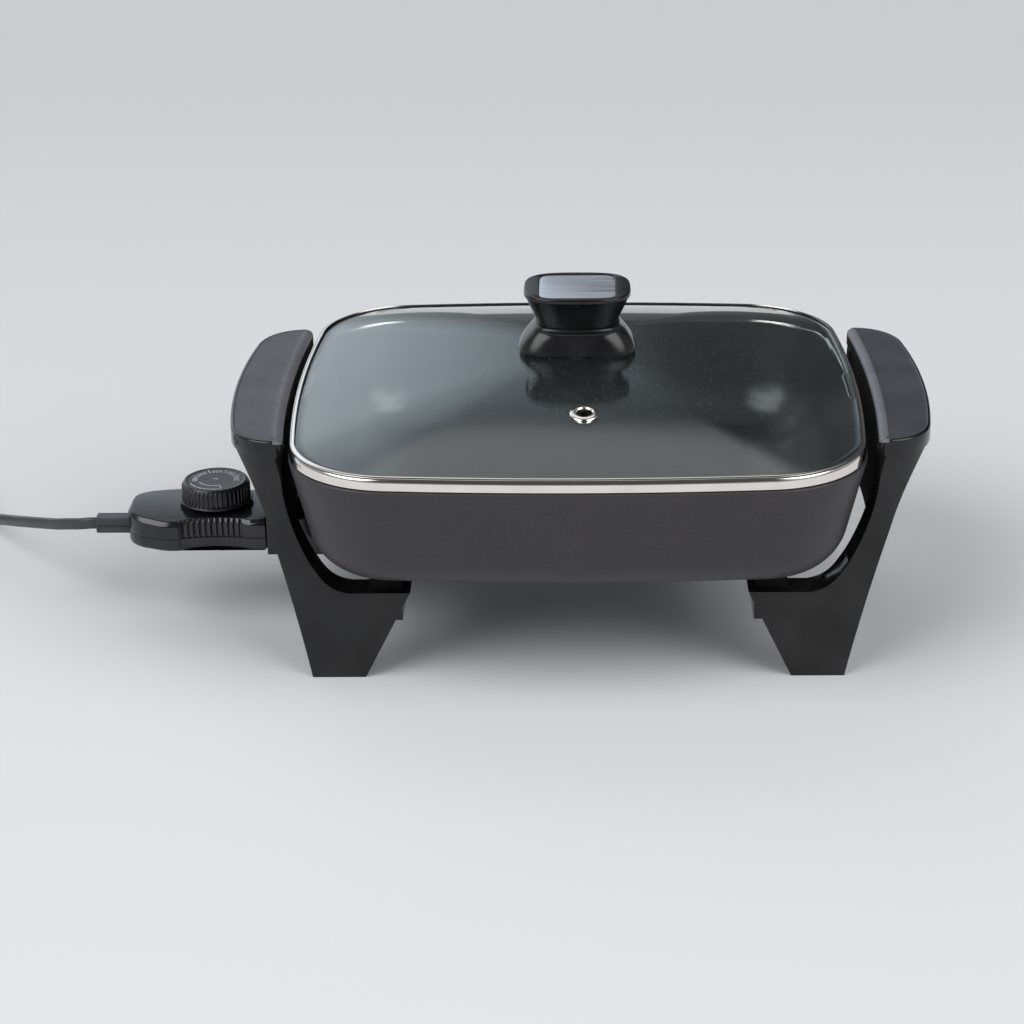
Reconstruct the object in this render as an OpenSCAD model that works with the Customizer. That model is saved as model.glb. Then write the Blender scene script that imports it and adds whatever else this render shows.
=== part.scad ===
// Electric skillet with a lift-off glass lid and a plug-in temperature control.
// Millimetres. X runs from the control side (-X) to the far handle (+X), Y runs
// from the front (-Y) to the back, Z is up, and the origin is the centre of the
// stance on the counter.

/* [Pan] */
// Width of the pan at its rim
pan_w = 323; // [300:1:330]
// Depth of the pan at its rim, front to back
pan_d = 297.8; // [280:1:310]
// Corner radius of the rim
pan_corner_r = 57; // [50:1:70]
// Height of the rim above the counter
pan_rim_z = 133; // [129:1:140]
// Height of the pan's underside above the counter
pan_bottom_z = 68; // [66:1:72]
// Draft of the walls, in degrees
pan_draft = 13.4; // [8:0.2:15]
// Radius between wall and base, outside
pan_fillet = 30; // [24:1:34]
// Wall thickness
pan_wall = 3.2; // [2.6:0.1:4]
// Base thickness
pan_base_t = 4.2; // [3:0.1:6]
// Half angle that each bowed side turns through, in degrees
side_bow = 5.3; // [3:0.1:8]
// Half angle that the bowed front and back turn through, in degrees
front_bow = 4.3; // [3:0.1:8]

/* [Heating element] */
// Diameter of the tubular element
element_d = 8; // [6:0.5:9]
// Height of the element's centre above the counter
element_z = 59; // [58:0.5:60]
// Half length of the element's loop
loop_x = 90; // [80:1:94]
// Half width of the element's loop
loop_y = 80; // [70:1:90]
// Bend radius of the loop's corners
loop_bend_r = 30; // [24:1:36]
// Bend radius where the legs turn into the loop
leg_bend_r = 22; // [18:1:26]
// Width of the cast ridge that holds the element
ridge_w = 13; // [12:0.5:15]
// Distance of each terminal pin from the centre line
pin_y = 14.3; // [13.5:0.1:15]
// Diameter of a terminal pin
pin_d = 4.8; // [4:0.1:5.2]
// Length of a terminal pin outside the element
pin_len = 36; // [30:1:38]
// Diameter of a ceramic insulator
insulator_d = 9.6; // [8:0.2:11]
// Length of a ceramic insulator
insulator_len = 6; // [4:0.5:8]

/* [Lid] */
// How much of the pan's rim shows outside the steel band
rim_show = 0.9; // [0.4:0.1:1.6]
// How much rounder the band's corners are than the pan's
lid_corner_more = 1; // [0:0.5:4]
// Height of the steel band
band_h = 7.6; // [7:0.2:12]
// Sheet thickness of the steel band
band_t = 0.7; // [0.5:0.1:1]
// Width of the band's flange over the glass
band_flange = 3; // [2:0.2:5]
// Width of the band's lower flange, which rests over the pan's rim
band_seat = 5.6; // [5:0.2:7]
// Depth of the skirt that keeps the lid inside the pan
band_skirt = 4; // [2:0.5:6]
// Gap between the closed lid and the pan's rim
lid_gap = 0.4; // [0.3:0.1:1]
// Glass thickness
glass_t = 4; // [3:0.2:5]
// Rise of the glass from the band to the middle
dome_rise = 23.3; // [16:0.1:30]
// Sideways place of the steam vent
vent_x = 3.5; // [-10:0.5:10]
// Distance of the steam vent from the middle, towards the front
vent_y = 87; // [70:1:100]
// Hole through the vent grommet
vent_bore_d = 8.6; // [6:0.2:9]
// Flange of the vent grommet
vent_flange_d = 15.7; // [14:0.1:18]

/* [Knob] */
// Width of the knob's base
knob_base_w = 67; // [60:1:76]
// Depth of the knob's base
knob_base_d = 44; // [40:1:60]
// Height of the knob's base
knob_base_h = 15.6; // [12:0.2:20]
// Width of the neck between base and grip
knob_neck_w = 44.6; // [38:0.2:50]
// Depth of the neck between base and grip
knob_neck_d = 37; // [28:1:42]
// Width of the grip's top
knob_top_w = 60.6; // [54:0.2:70]
// Depth of the grip's top
knob_top_d = 52; // [48:0.2:64]
// Height of the grip above the base
knob_grip_h = 19.8; // [14:0.2:24]
// Width of the metal insert
insert_w = 43; // [36:1:48]
// Depth of the metal insert
insert_d = 43; // [36:0.2:44]
// Thickness of the metal insert
insert_t = 1; // [0.6:0.1:2]
// Thickness of the gasket under the knob
gasket_t = 1; // [0.6:0.1:2]
// Diameter of the knob's screw
knob_screw_d = 5; // [4:0.5:6]

/* [Handle brackets] */
// How far a handle reaches out from its inner edge
handle_reach = 31.4; // [28:0.1:36]
// Half depth of a bracket
handle_y = 94; // [86:1:98]
// Radius of the handle's outer edge in plan
handle_arc_r = 490; // [400:10:600]
// Corner radius of the handle's inner corners in plan
handle_corner_r = 5; // [4:0.5:8]
// Gap between the pan's rim and the handle
handle_gap = 4.1; // [3:0.1:6]
// Height of the handle's top above the counter
handle_z = 141.8; // [136:0.2:146]
// Thickness of the grip
grip_t = 10; // [8:0.5:14]
// Thickness of the grip's skin over its hollow underside
grip_skin = 4; // [3:0.5:6]
// Width of an arm, front to back
arm_t = 19; // [16:1:24]
// Thickness of the wall between the fingers and the pan
shield_t = 3; // [2:0.5:4]
// Height of the slot between the socket guard and the left handle's wall
shield_slot = 1.4; // [1:0.2:20]
// Outer half width of the feet
foot_out_x = 149; // [144:0.5:154]
// Inner half width of the feet
foot_in_x = 119; // [112:0.5:122]
// How far both handles sit towards the far side of their feet
handle_set = 1.6; // [0:0.2:2]
// Inner half width of the rails between the legs
rail_in_x = 98; // [96:1:100]
// Outer half width of the rails between the legs
rail_out_x = 113; // [110:1:116]
// Height of the rails' underside
rail_z0 = 28; // [24:1:32]
// Height of the rails' top
rail_z1 = 51; // [48:1:52]
// Wall thickness of the rails
rail_wall = 3; // [2:0.5:4]
// Sideways place of the bracket screws
mount_x = 107; // [104:1:110]
// Front to back place of the bracket screws
mount_y = 78; // [76:1:82]
// Diameter of the bracket screws
bracket_screw_d = 5; // [4:0.5:6]

/* [Temperature control] */
// Distance of the control's tail from the centre
ctl_tail_x = 262; // [258:1:270]
// Distance of the dial's axis from the centre
dial_x = 211; // [208:1:214]
// Half width of the control's housing behind the dial
ctl_y = 27; // [25:0.5:29]
// Half width of the housing between the finger grips
waist_y = 22.5; // [21:0.5:25]
// Half width of the housing at the guard
shoulder_y = 25; // [24:0.5:27]
// Half length of the finger grips
waist_half = 22; // [18:0.5:24]
// Height of the housing's underside
ctl_z0 = 47.4; // [46:0.2:48]
// Height of the housing's parting line
ctl_split_z = 54.9; // [54:0.1:56]
// Height of the housing's upper edges
ctl_edge_z = 65.2; // [64.8:0.2:66]
// Radius of the crown across the housing's top
crown_r = 130; // [100:5:200]
// Wall thickness of the housing
ctl_wall = 2; // [1.6:0.1:2.6]
// Half width of the plug end inside the guard
nose_y = 22.6; // [22:0.2:23]
// Distance from the centre to the plug end's face
nose_x = 150; // [148:1:152]
// Distance from the centre to the guard's outer edge
guard_x = 179.6; // [177:0.2:182]
// Clearance between guard and plug end
guard_gap = 0.5; // [0.4:0.1:1]
// Wall thickness of the guard
guard_wall = 2; // [1.6:0.2:3]
// Diameter of the dial
dial_d = 39.6; // [36:0.2:42]
// Height of the dial
dial_h = 12; // [10:0.2:16]
// Diameter of the flange at the dial's foot
dial_flange_d = 42.6; // [40.6:0.2:46]
// Number of ribs round the dial
dial_ribs = 44; // [24:2:60]
// Depth of the dial's ribs
rib_depth = 0.5; // [0.2:0.1:1]
// Height of the ring that the dial turns in
dial_ring_z = 69.6; // [69.2:0.1:70.4]
// Diameter of the dial's shaft
shaft_d = 6; // [5:0.5:7]
// Diameter of the temperature probe
probe_d = 6.35; // [5:0.05:7]
// How far the probe reaches past the plug end's face
probe_len = 66; // [60:1:68]
// Running clearance on a radius
running_gap = 0.05; // [0.02:0.01:0.1]
// Clearance of a loose fit on a radius
loose_gap = 0.2; // [0.1:0.05:0.4]

/* [Cord] */
// Width of the flat twin cord
cord_w = 7; // [6:0.5:8]
// Thickness of the flat twin cord
cord_t = 3.6; // [3:0.2:4.4]
// Length of the strain relief outside the housing
relief_len = 20; // [18:1:22]
// Height of the strain relief
relief_h = 9.6; // [9:0.2:12]
// Depth of the strain relief
relief_d = 9; // [8:0.5:12]
// Height of the cord's exit
relief_z = 54.4; // [54:0.2:55]
// Radius of the coil's outermost turn
coil_r = 44; // [42:1:48]
// Turns in the coil
coil_turns = 2.25; // [1.25:1:3.25]
// Distance from one turn of the coil to the next
coil_pitch = 3.8; // [3.7:0.1:4.4]
// Length of the plug's body
plug_len = 31; // [28:1:40]
// Width of the plug's body
plug_w = 24; // [20:1:30]
// Height of the plug's body
plug_h = 16; // [14:1:20]
// Length of the plug's blades
blade_len = 16.5; // [15:0.5:18]
// Distance between the plug's blades
blade_pitch = 12.7; // [12.7:0.1:13]

/* [Hidden] */

$fn = 64;
quarter_steps = [3, 9, 3];

// ---- Outline of pan and lid -------------------------------------------------
// A rounded rectangle whose four sides are bowed arcs. Each point is found from
// the direction of its normal, so an offset moves it straight along the normal.

function bow_det() =
    sin(side_bow) * sin(front_bow) - (1 - cos(side_bow)) * (1 - cos(front_bow));
function side_reach(w, d, r) =
    ((d / 2 - r) * sin(front_bow) - (w / 2 - r) * (1 - cos(front_bow))) / bow_det();
function front_reach(w, d, r) =
    ((w / 2 - r) * sin(side_bow) - (d / 2 - r) * (1 - cos(side_bow))) / bow_det();

function first_quarter(size, a) =
    let (w = size[0], d = size[1], r = size[2])
    let (sr = side_reach(w, d, r), fr = front_reach(w, d, r))
    a <= side_bow ? [[w / 2 - r - sr, 0], sr + r]
    : a <= 90 - front_bow ? [[fr * sin(front_bow), sr * sin(side_bow)], r]
    : [[0, d / 2 - r - fr], fr + r];

function outline_point(size, t, off) =
    let (c = cos(t), s = sin(t), q = first_quarter(size, atan2(abs(s), abs(c))))
    [sign(c) * q[0][0] + (q[1] + off) * c, sign(s) * q[0][1] + (q[1] + off) * s];

quarter_angles = [
    for (i = [0 : quarter_steps[0] - 1]) side_bow * i / quarter_steps[0],
    for (i = [0 : quarter_steps[1] - 1])
        side_bow + (90 - side_bow - front_bow) * i / quarter_steps[1],
    for (i = [0 : quarter_steps[2] - 1])
        90 - front_bow + front_bow * i / quarter_steps[2]
];
half_angles = [
    each quarter_angles,
    90,
    for (i = [len(quarter_angles) - 1 : -1 : 1]) 180 - quarter_angles[i]
];
outline_angles = [each half_angles, for (a = half_angles) a + 180];

function outline_ring(size, off, z) =
    [for (t = outline_angles) let (p = outline_point(size, t, off)) [p[0], p[1], z]];

// ---- Lofts --------------------------------------------------------------------
// Joins rings of equal length into one closed solid, first ring to last, with a
// flat cap at each end. Rings run anticlockwise and the first one is the lowest
// of the outer skin.

module loft(rings) {
    n = len(rings[0]);
    m = len(rings);
    polyhedron(
        points = [for (r = rings) each r],
        faces = [
            [for (i = [0 : n - 1]) i],
            for (k = [0 : m - 2], i = [0 : n - 1])
                [k * n + i, (k + 1) * n + i, (k + 1) * n + (i + 1) % n, k * n + (i + 1) % n],
            [for (i = [n - 1 : -1 : 0]) (m - 1) * n + i]
        ]
    );
}

// The same, closed on itself: the last ring joins the first.
module loft_round(rings) {
    n = len(rings[0]);
    m = len(rings);
    polyhedron(
        points = [for (r = rings) each r],
        faces = [
            for (k = [0 : m - 1], i = [0 : n - 1])
                let (next = (k + 1) % m)
                [k * n + i, next * n + i, next * n + (i + 1) % n, k * n + (i + 1) % n]
        ]
    );
}

// Ring of a superellipse, for the knob
function knob_ring(w, d, z, power = 3.2, n = 40) = [
    for (i = [0 : n - 1]) let (c = cos(360 * i / n), s = sin(360 * i / n))
        [w / 2 * sign(c) * pow(abs(c), 2 / power), d / 2 * sign(s) * pow(abs(s), 2 / power), z]
];

function bezier(a, b, c, d, n) = [
    for (i = [0 : n]) let (t = i / n, u = 1 - t)
        u * u * u * a + 3 * u * u * t * b + 3 * u * t * t * c + t * t * t * d
];

function arc(centre, r, from, to, n) =
    [for (i = [0 : n]) let (a = from + (to - from) * i / n) centre + r * [cos(a), sin(a)]];

// ---- Tubes along a route ---------------------------------------------------------
// Sweeps an ellipse along points, with its height kept upright.

function unit(v) = v / norm(v);
function heading(p, i) =
    unit(i == 0 ? p[1] - p[0]
         : i == len(p) - 1 ? p[i] - p[i - 1]
         : unit(p[i + 1] - p[i]) + unit(p[i] - p[i - 1]));
function tube_ring(p, i, across, tall, sides) =
    let (f = heading(p, i), side = unit(cross(f, [0, 0, 1])), up = cross(side, f))
    [for (k = [0 : sides - 1]) let (a = 360 * (k + 0.5) / sides)
        p[i] + across / 2 * cos(a) * side + tall / 2 * sin(a) / cos(180 / sides) * up];

module tube(p, across, tall, sides) {
    loft([for (i = [0 : len(p) - 1]) tube_ring(p, i, across, tall, sides)]);
}

module along_x(x0, x1, y, z, r) {
    translate([x0, y, z]) rotate([0, 90, 0]) cylinder(r = r, h = x1 - x0);
}

module upright(x, y, z0, z1, r) {
    translate([x, y, z0]) cylinder(r = r, h = z1 - z0);
}

// ---- Pan -------------------------------------------------------------------------

pan_size = [pan_w, pan_d, pan_corner_r];
lid_d = pan_d - 2 * rim_show;
lid_size = [pan_w - 2 * rim_show, lid_d, pan_corner_r + lid_corner_more];
pan_h = pan_rim_z - pan_bottom_z;
// Offset of the centre of the fillet between wall and base
fillet_off = (-pan_fillet - (pan_h - pan_fillet) * sin(pan_draft)) / cos(pan_draft);
inner_fillet = pan_fillet - pan_wall;
floor_z = pan_bottom_z + pan_base_t;
floor_fillet_z = floor_z + inner_fillet;
rim_round = 1;

pan_profile = [
    for (a = [-90 : 13 : -pan_draft])
        [fillet_off + pan_fillet * cos(a), pan_bottom_z + pan_fillet * (1 + sin(a))],
    [-rim_round * tan(pan_draft), pan_rim_z - rim_round],
    [-rim_round, pan_rim_z],
    [-pan_wall - rim_round, pan_rim_z],
    [-pan_wall - rim_round - 2 * rim_round * tan(pan_draft), pan_rim_z - 2 * rim_round],
    for (a = [-pan_draft - 4 : -12.33 : -90])
        [fillet_off + inner_fillet * cos(a), floor_fillet_z + inner_fillet * sin(a)]
];

boss_r = 7;
boss_z = pan_bottom_z - 10;
boss_hole_depth = 7.5;
terminal_x = 128;
probe_block_x1 = -80;
probe_bore_end = 1.5;
probe_block_y = 7;
probe_block_z = element_z - probe_d / 2 - 3;
groove_gap = 0.2;

// Places a flat profile along the element's route: x across it, y up
module along_element() {
    x_bend = -loop_x - leg_bend_r;
    for (side = [0, 1]) mirror([0, side, 0]) {
        translate([-terminal_x, pin_y, element_z])
            rotate([90, 0, 90]) linear_extrude(x_bend + terminal_x) children();
        translate([x_bend, pin_y + leg_bend_r, element_z])
            rotate([0, 0, -90]) rotate_extrude(angle = 90)
                translate([leg_bend_r, 0]) children();
        translate([-loop_x, pin_y + leg_bend_r, element_z])
            rotate([90, 0, 180])
                linear_extrude(loop_y - loop_bend_r - pin_y - leg_bend_r) children();
        translate([-loop_x + loop_bend_r, loop_y - loop_bend_r, element_z])
            rotate([0, 0, 90]) rotate_extrude(angle = 90)
                translate([loop_bend_r, 0]) children();
        translate([-loop_x + loop_bend_r, loop_y, element_z])
            rotate([90, 0, 90]) linear_extrude(2 * (loop_x - loop_bend_r)) children();
        translate([loop_x - loop_bend_r, loop_y - loop_bend_r, element_z])
            rotate_extrude(angle = 90) translate([loop_bend_r, 0]) children();
        translate([loop_x, 0, element_z])
            rotate([90, 0, 180]) linear_extrude(loop_y - loop_bend_r) children();
    }
}

module pan() {
    color("#3c3a3e") difference() {
        union() {
            loft([for (p = pan_profile) outline_ring(pan_size, p[0], p[1])]);
            along_element() translate([-ridge_w / 2, 0])
                square([ridge_w, pan_bottom_z - element_z + 1]);
            translate([-terminal_x, -probe_block_y, probe_block_z])
                cube([
                    terminal_x + probe_block_x1, 2 * probe_block_y,
                    pan_bottom_z - probe_block_z + 1
                ]);
            for (x = [-mount_x, mount_x], y = [-mount_y, mount_y])
                upright(x, y, boss_z, pan_bottom_z + 1, boss_r);
        }
        along_element() circle(r = element_d / 2 + groove_gap);
        along_x(-terminal_x - 1, probe_block_x1 - probe_bore_end, 0, element_z,
                probe_d / 2 + loose_gap);
        for (x = [-mount_x, mount_x], y = [-mount_y, mount_y])
            upright(x, y, boss_z - 1, boss_z + boss_hole_depth,
                    bracket_screw_d / 2 + running_gap);
    }
}

module heating_element() {
    color("#6d6a66") along_element() circle(r = element_d / 2);
}

module element_insulators() {
    color("ivory") for (y = [-pin_y, pin_y]) difference() {
        along_x(-terminal_x - insulator_len, -terminal_x, y, element_z, insulator_d / 2);
        along_x(-terminal_x - insulator_len - 1, -terminal_x + 1, y, element_z,
                pin_d / 2 + running_gap);
    }
}

module element_terminal_pins() {
    color("silver") for (y = [-pin_y, pin_y])
        along_x(-terminal_x - pin_len, -terminal_x, y, element_z, pin_d / 2);
}

// ---- Handle brackets --------------------------------------------------------------

inner_x = pan_w / 2 + handle_gap;
handle_x = inner_x + handle_reach;
corner_turn_y = handle_y - 25;
arc_x = handle_x - handle_arc_r;
corner_start = [arc_x + sqrt(handle_arc_r * handle_arc_r - corner_turn_y * corner_turn_y),
                corner_turn_y];

// Plan of the handle for y >= 0, from its inner edge outwards
inner_arc_r = side_reach(pan_w, pan_d, pan_corner_r) + pan_corner_r + handle_gap;
inner_arc_end = handle_y - handle_corner_r;
function inner_edge(y) = inner_x - inner_arc_r + sqrt(inner_arc_r * inner_arc_r - y * y);
handle_half_plan = [
    for (i = [4 : -1 : 1]) let (y = inner_arc_end * i / 4) [inner_edge(y), y]
];
// Plan of the wall between the fingers and the pan, which joins the two arms
shield_reach = handle_y - arm_t + 1;
shield_plan = [
    for (i = [-4 : 4]) [inner_edge(shield_reach * i / 4), shield_reach * i / 4],
    for (i = [4 : -1 : -4]) [inner_edge(shield_reach * i / 4) + shield_t, shield_reach * i / 4]
];
function reversed(v) = [for (i = [len(v) - 1 : -1 : 0]) v[i]];
inner_corner = let (p = handle_half_plan[0], r = handle_corner_r)
    bezier(p, [p[0] - 0.4, handle_y - r / 2], [p[0] + r / 3, handle_y], [p[0] + r, handle_y], 5);
outer_corner = bezier(inner_corner[5], [handle_x - 14, handle_y - 1.5],
                      [handle_x - 7, handle_y - 14], corner_start, 7);
outer_arc = [for (i = [4 : -1 : 0]) let (y = corner_turn_y * i / 5)
    [arc_x + sqrt(handle_arc_r * handle_arc_r - y * y), y]];
handle_back_plan = [
    each reversed(handle_half_plan),
    for (i = [1 : 5]) inner_corner[i],
    for (i = [1 : 7]) outer_corner[i],
    each outer_arc
];
handle_plan = [
    each handle_back_plan,
    for (i = [len(handle_back_plan) - 2 : -1 : 0])
        [handle_back_plan[i][0], -handle_back_plan[i][1]]
];

// Front view of an arm and its leg: x outwards, y up
leg_top_in_x = rail_in_x - 4.4;
leg_top_z = rail_z1 + 0.6;
grip_z0 = handle_z - grip_t;
hip = [handle_x - 25.9, grip_z0 - 38];
under_grip = [handle_x - 16.2, grip_z0 - 11.5];
arm_top_out = handle_x - 8.7;
// Where the inner edge leaves the side of the pan and turns in under it
arm_bend = [inner_x - 17.6, leg_top_z + 17.9];
arm_outline = [
    [inner_x - 3.4, grip_z0],
    each bezier([inner_x - 3.5, grip_z0 - 13], [inner_x - 4, grip_z0 - 29],
                arm_bend + [7.5, 14.5], arm_bend, 6),
    each bezier(arm_bend - [4, 6.5], arm_bend - [8.5, 13.5], arm_bend - [13, 16.5],
                [arm_bend[0] - 21, leg_top_z], 5),
    [leg_top_in_x, leg_top_z],
    [leg_top_in_x + 0.6, leg_top_z - 1.2],
    [foot_in_x, 0],
    each bezier([foot_out_x, 0], [foot_out_x + 4.5, hip[1] / 4], hip - [8.8, hip[1] / 3],
                hip, 5),
    each bezier(hip + [1, 4], hip + [3.4, 12], hip + [6.2, 19.5], under_grip, 4),
    each bezier(under_grip + [1.4, 3], under_grip + [3.4, 6.5], [arm_top_out, grip_z0 - 2.5],
                [arm_top_out, grip_z0 + 1], 3)
];

// The handles lean to one side: the set grows with the height
function leaning(v, set) = [for (p = v) [p[0] + set * p[1] / handle_z, p[1]]];

rail_round = 4;
rail_outline = [
    [rail_out_x, rail_z0],
    [rail_out_x, rail_z1],
    [rail_in_x, rail_z1],
    each bezier([rail_in_x, rail_z0 + rail_round], [rail_in_x, rail_z0 + 1],
                [rail_in_x + 1, rail_z0], [rail_in_x + rail_round, rail_z0], 3)
];

pad_half = 9;
pad_y1 = mount_y + 9;
pad_y0 = mount_y - 10;
head_d = 9.5;
head_h = 3;
washer_d = 11;
washer_t = 1;
screw_seat_z = boss_z - 14;
pocket_margin = 5;

module handle_bracket(set) {
    arm_y0 = handle_y - arm_t;
    difference() {
        union() {
            // Grip
            translate([set, 0, handle_z - grip_t])
                linear_extrude(grip_t) polygon(handle_plan);
            // Wall between the fingers and the pan
            translate([set, 0, shield_z0])
                linear_extrude(grip_z0 - shield_z0 + 1) polygon(shield_plan);
            // Arms and legs
            for (side = [0, 1]) mirror([0, side, 0])
                translate([0, handle_y, 0]) rotate([90, 0, 0])
                    linear_extrude(arm_t) polygon(leaning(arm_outline, set));
            // Rail between the legs
            translate([0, arm_y0 + 1, 0]) rotate([90, 0, 0])
                linear_extrude(2 * arm_y0 + 2) polygon(rail_outline);
            // Pads under the pan's bosses
            for (y = [-pad_y1, pad_y0])
                translate([mount_x - pad_half, y, rail_z0 + 4])
                    cube([2 * pad_half, pad_y1 - pad_y0, boss_z - rail_z0 - 4]);
        }
        // Hollow underside of the grip
        translate([set, 0, handle_z - grip_t - 1]) linear_extrude(grip_t - grip_skin + 1)
            intersection() {
                translate([inner_x + grip_skin, -arm_y0 + 4])
                    square([handle_x - inner_x - 2 * grip_skin - pocket_margin,
                            2 * arm_y0 - 8]);
                polygon(handle_plan);
            }
        // Hollow underside of the rail
        translate([rail_in_x + rail_wall, -pad_y0 + 4, rail_z0 - 1])
            cube([rail_out_x - rail_in_x - 2 * rail_wall, 2 * pad_y0 - 8,
                  rail_z1 - rail_z0 - rail_wall + 1]);
        // Rounded corners of the arms in plan, above the feet
        handle_corner_cut(set);
        // Screw holes, with room for the driver from below
        for (y = [-mount_y, mount_y]) {
            upright(mount_x, y, 0, boss_z + 1, bracket_screw_d / 2 + loose_gap);
            upright(mount_x, y, -1, screw_seat_z, washer_d / 2 + loose_gap);
        }
    }
}

// What lies outside the handle's plan at its ends
module handle_corner_cut(set) {
    for (side = [0, 1]) mirror([0, side, 0])
        translate([set, 0, -1]) linear_extrude(handle_z + 2) difference() {
            translate([inner_x + 3, corner_turn_y])
                square([handle_reach, handle_y - corner_turn_y + 1]);
            polygon(handle_plan);
        }
}

guard_z0 = ctl_z0 - guard_gap - guard_wall;
guard_hole_y = 27;
guard_hole_z = rail_z0 + 10;
guard_screw_d = 3.5;
guard_flange_t = 3;

module left_bracket() {
    color("#1c1c1e") difference() {
        mirror([1, 0, 0]) handle_bracket(-handle_set);
        for (y = [-guard_hole_y, guard_hole_y])
            along_x(-rail_out_x - 1, -rail_out_x + rail_wall + 1, y, guard_hole_z,
                    guard_screw_d / 2 + running_gap);
    }
}

module right_bracket() {
    color("#1c1c1e") handle_bracket(handle_set);
}

module bracket_screws() {
    color("silver") for (x = [-mount_x, mount_x], y = [-mount_y, mount_y]) {
        upright(x, y, screw_seat_z - washer_t, boss_z + boss_hole_depth - 0.5,
                bracket_screw_d / 2);
        upright(x, y, screw_seat_z - washer_t - head_h, screw_seat_z - washer_t, head_d / 2);
    }
}

module bracket_washers() {
    color("gainsboro") for (x = [-mount_x, mount_x], y = [-mount_y, mount_y]) difference() {
        upright(x, y, screw_seat_z - washer_t, screw_seat_z, washer_d / 2);
        upright(x, y, screw_seat_z - washer_t - 1, screw_seat_z + 1,
                bracket_screw_d / 2 + running_gap);
    }
}

// Collar on the left bracket round the plug end of the control
guard_top_x = 140;
guard_in_y = nose_y + guard_gap;
guard_out_y = guard_in_y + guard_wall;
nose_top_z = 64.4;
nose_roof = 1.4;
guard_in_z1 = nose_top_z + guard_gap;
shield_z0 = guard_in_z1 + guard_wall + shield_slot;

module socket_guard() {
    color("#232325") difference() {
        union() {
            translate([-guard_x, -guard_out_y, guard_z0])
                cube([guard_x - guard_top_x, 2 * guard_out_y,
                      guard_in_z1 + guard_wall - guard_z0]);
            translate([-guard_top_x - 1, -guard_out_y, guard_z0])
                cube([guard_top_x + 1 - rail_out_x, 2 * guard_out_y, rail_z1 - guard_z0]);
            translate([-rail_out_x - guard_flange_t, -guard_hole_y - 6, rail_z0 + 3])
                cube([guard_flange_t, 2 * guard_hole_y + 12, rail_z1 - rail_z0 - 3]);
        }
        translate([-guard_x - 1, -guard_in_y, guard_z0 + guard_wall])
            cube([guard_x + 1 - rail_out_x - guard_flange_t, 2 * guard_in_y,
                  guard_in_z1 - guard_z0 - guard_wall]);
        for (y = [-guard_hole_y, guard_hole_y])
            along_x(-rail_out_x - guard_flange_t - 1, -rail_out_x + 1, y, guard_hole_z,
                    guard_screw_d / 2 + running_gap);
    }
}

module guard_screws() {
    color("silver") for (y = [-guard_hole_y, guard_hole_y]) {
        along_x(-rail_out_x - guard_flange_t, -rail_out_x + rail_wall + 4, y, guard_hole_z,
                guard_screw_d / 2);
        along_x(-rail_out_x - guard_flange_t - 2, -rail_out_x - guard_flange_t, y,
                guard_hole_z, guard_screw_d);
    }
}

// ---- Lid ---------------------------------------------------------------------------

band_z0 = pan_rim_z + lid_gap;
band_z1 = band_z0 + band_h;
glass_gap = 0.15;
glass_off = -band_t - glass_gap;
// How far the dome climbs under the band's flange
flange_rho = 1 - (band_flange + glass_off) / (lid_d / 2 + glass_off);
flange_climb = dome_rise * (1 - flange_rho * flange_rho);
glass_edge_z = band_z1 - band_t - glass_gap - flange_climb;
dome_steps = 10;
glass_hole_r = 3.6;

function dome_z(rho) = glass_edge_z + dome_rise * (1 - rho * rho);
// The middle of the dome is a flat seat for the knob
dome_top_z = dome_z(1 / dome_steps);
function dome_ring(rho, drop) = [
    for (p = outline_ring(lid_size, glass_off, 0)) [p[0] * rho, p[1] * rho, dome_z(rho) - drop]
];

// Slope of the dome where the vent is
vent_rho = vent_y / (lid_d / 2 + glass_off);
vent_tilt = atan(2 * dome_rise * vent_rho / (lid_d / 2 + glass_off));
vent_barrel_r = vent_bore_d / 2 + 1;

module at_vent() {
    translate([vent_x, -vent_y, dome_z(vent_rho)]) rotate([vent_tilt, 0, 0]) children();
}

module lid_glass() {
    color("#8fa8a6", 0.35) difference() {
        loft([
            for (i = [1 : dome_steps]) dome_ring(i / dome_steps, glass_t),
            for (i = [dome_steps : -1 : 1]) dome_ring(i / dome_steps, 0)
        ]);
        upright(0, 0, dome_top_z - glass_t - 5, dome_top_z + 5, glass_hole_r);
        at_vent() translate([0, 0, -glass_t - 2])
            cylinder(r = vent_barrel_r + loose_gap, h = glass_t + 4);
    }
}

// The glass sits between the band's upper flange and its inner ledge
ledge_z = glass_edge_z - glass_t - glass_gap;
band_profile = [
    [0, band_z0],
    [0, band_z1 - 1.2],
    [-1.2, band_z1],
    [-band_flange, band_z1],
    [-band_flange, band_z1 - band_t],
    [-band_t, band_z1 - band_t],
    [-band_t, ledge_z],
    [-band_seat, ledge_z],
    [-band_seat, band_z0 - band_skirt],
    [-band_seat + band_t, band_z0 - band_skirt],
    [-band_seat + band_t, ledge_z - band_t],
    [-band_t, ledge_z - band_t],
    [-band_t, band_z0]
];

module lid_rim() {
    color("#e8e2da")
        loft_round([for (p = band_profile) outline_ring(lid_size, p[0], p[1])]);
}

vent_flange_t = 0.8;
vent_flange_gap = 0.15;

module vent_grommet() {
    color("silver") at_vent() rotate_extrude() polygon([
        [vent_bore_d / 2, -glass_t - vent_flange_gap - vent_flange_t],
        [vent_flange_d / 2 - 1.2, -glass_t - vent_flange_gap - vent_flange_t],
        [vent_flange_d / 2 - 1.2, -glass_t - vent_flange_gap],
        [vent_barrel_r, -glass_t - vent_flange_gap],
        [vent_barrel_r, vent_flange_gap],
        [vent_flange_d / 2, vent_flange_gap],
        [vent_flange_d / 2 - 0.4, vent_flange_gap + vent_flange_t],
        [vent_bore_d / 2 + 0.8, vent_flange_gap + vent_flange_t + 0.6],
        [vent_bore_d / 2, vent_flange_gap + vent_flange_t]
    ]);
}

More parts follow.
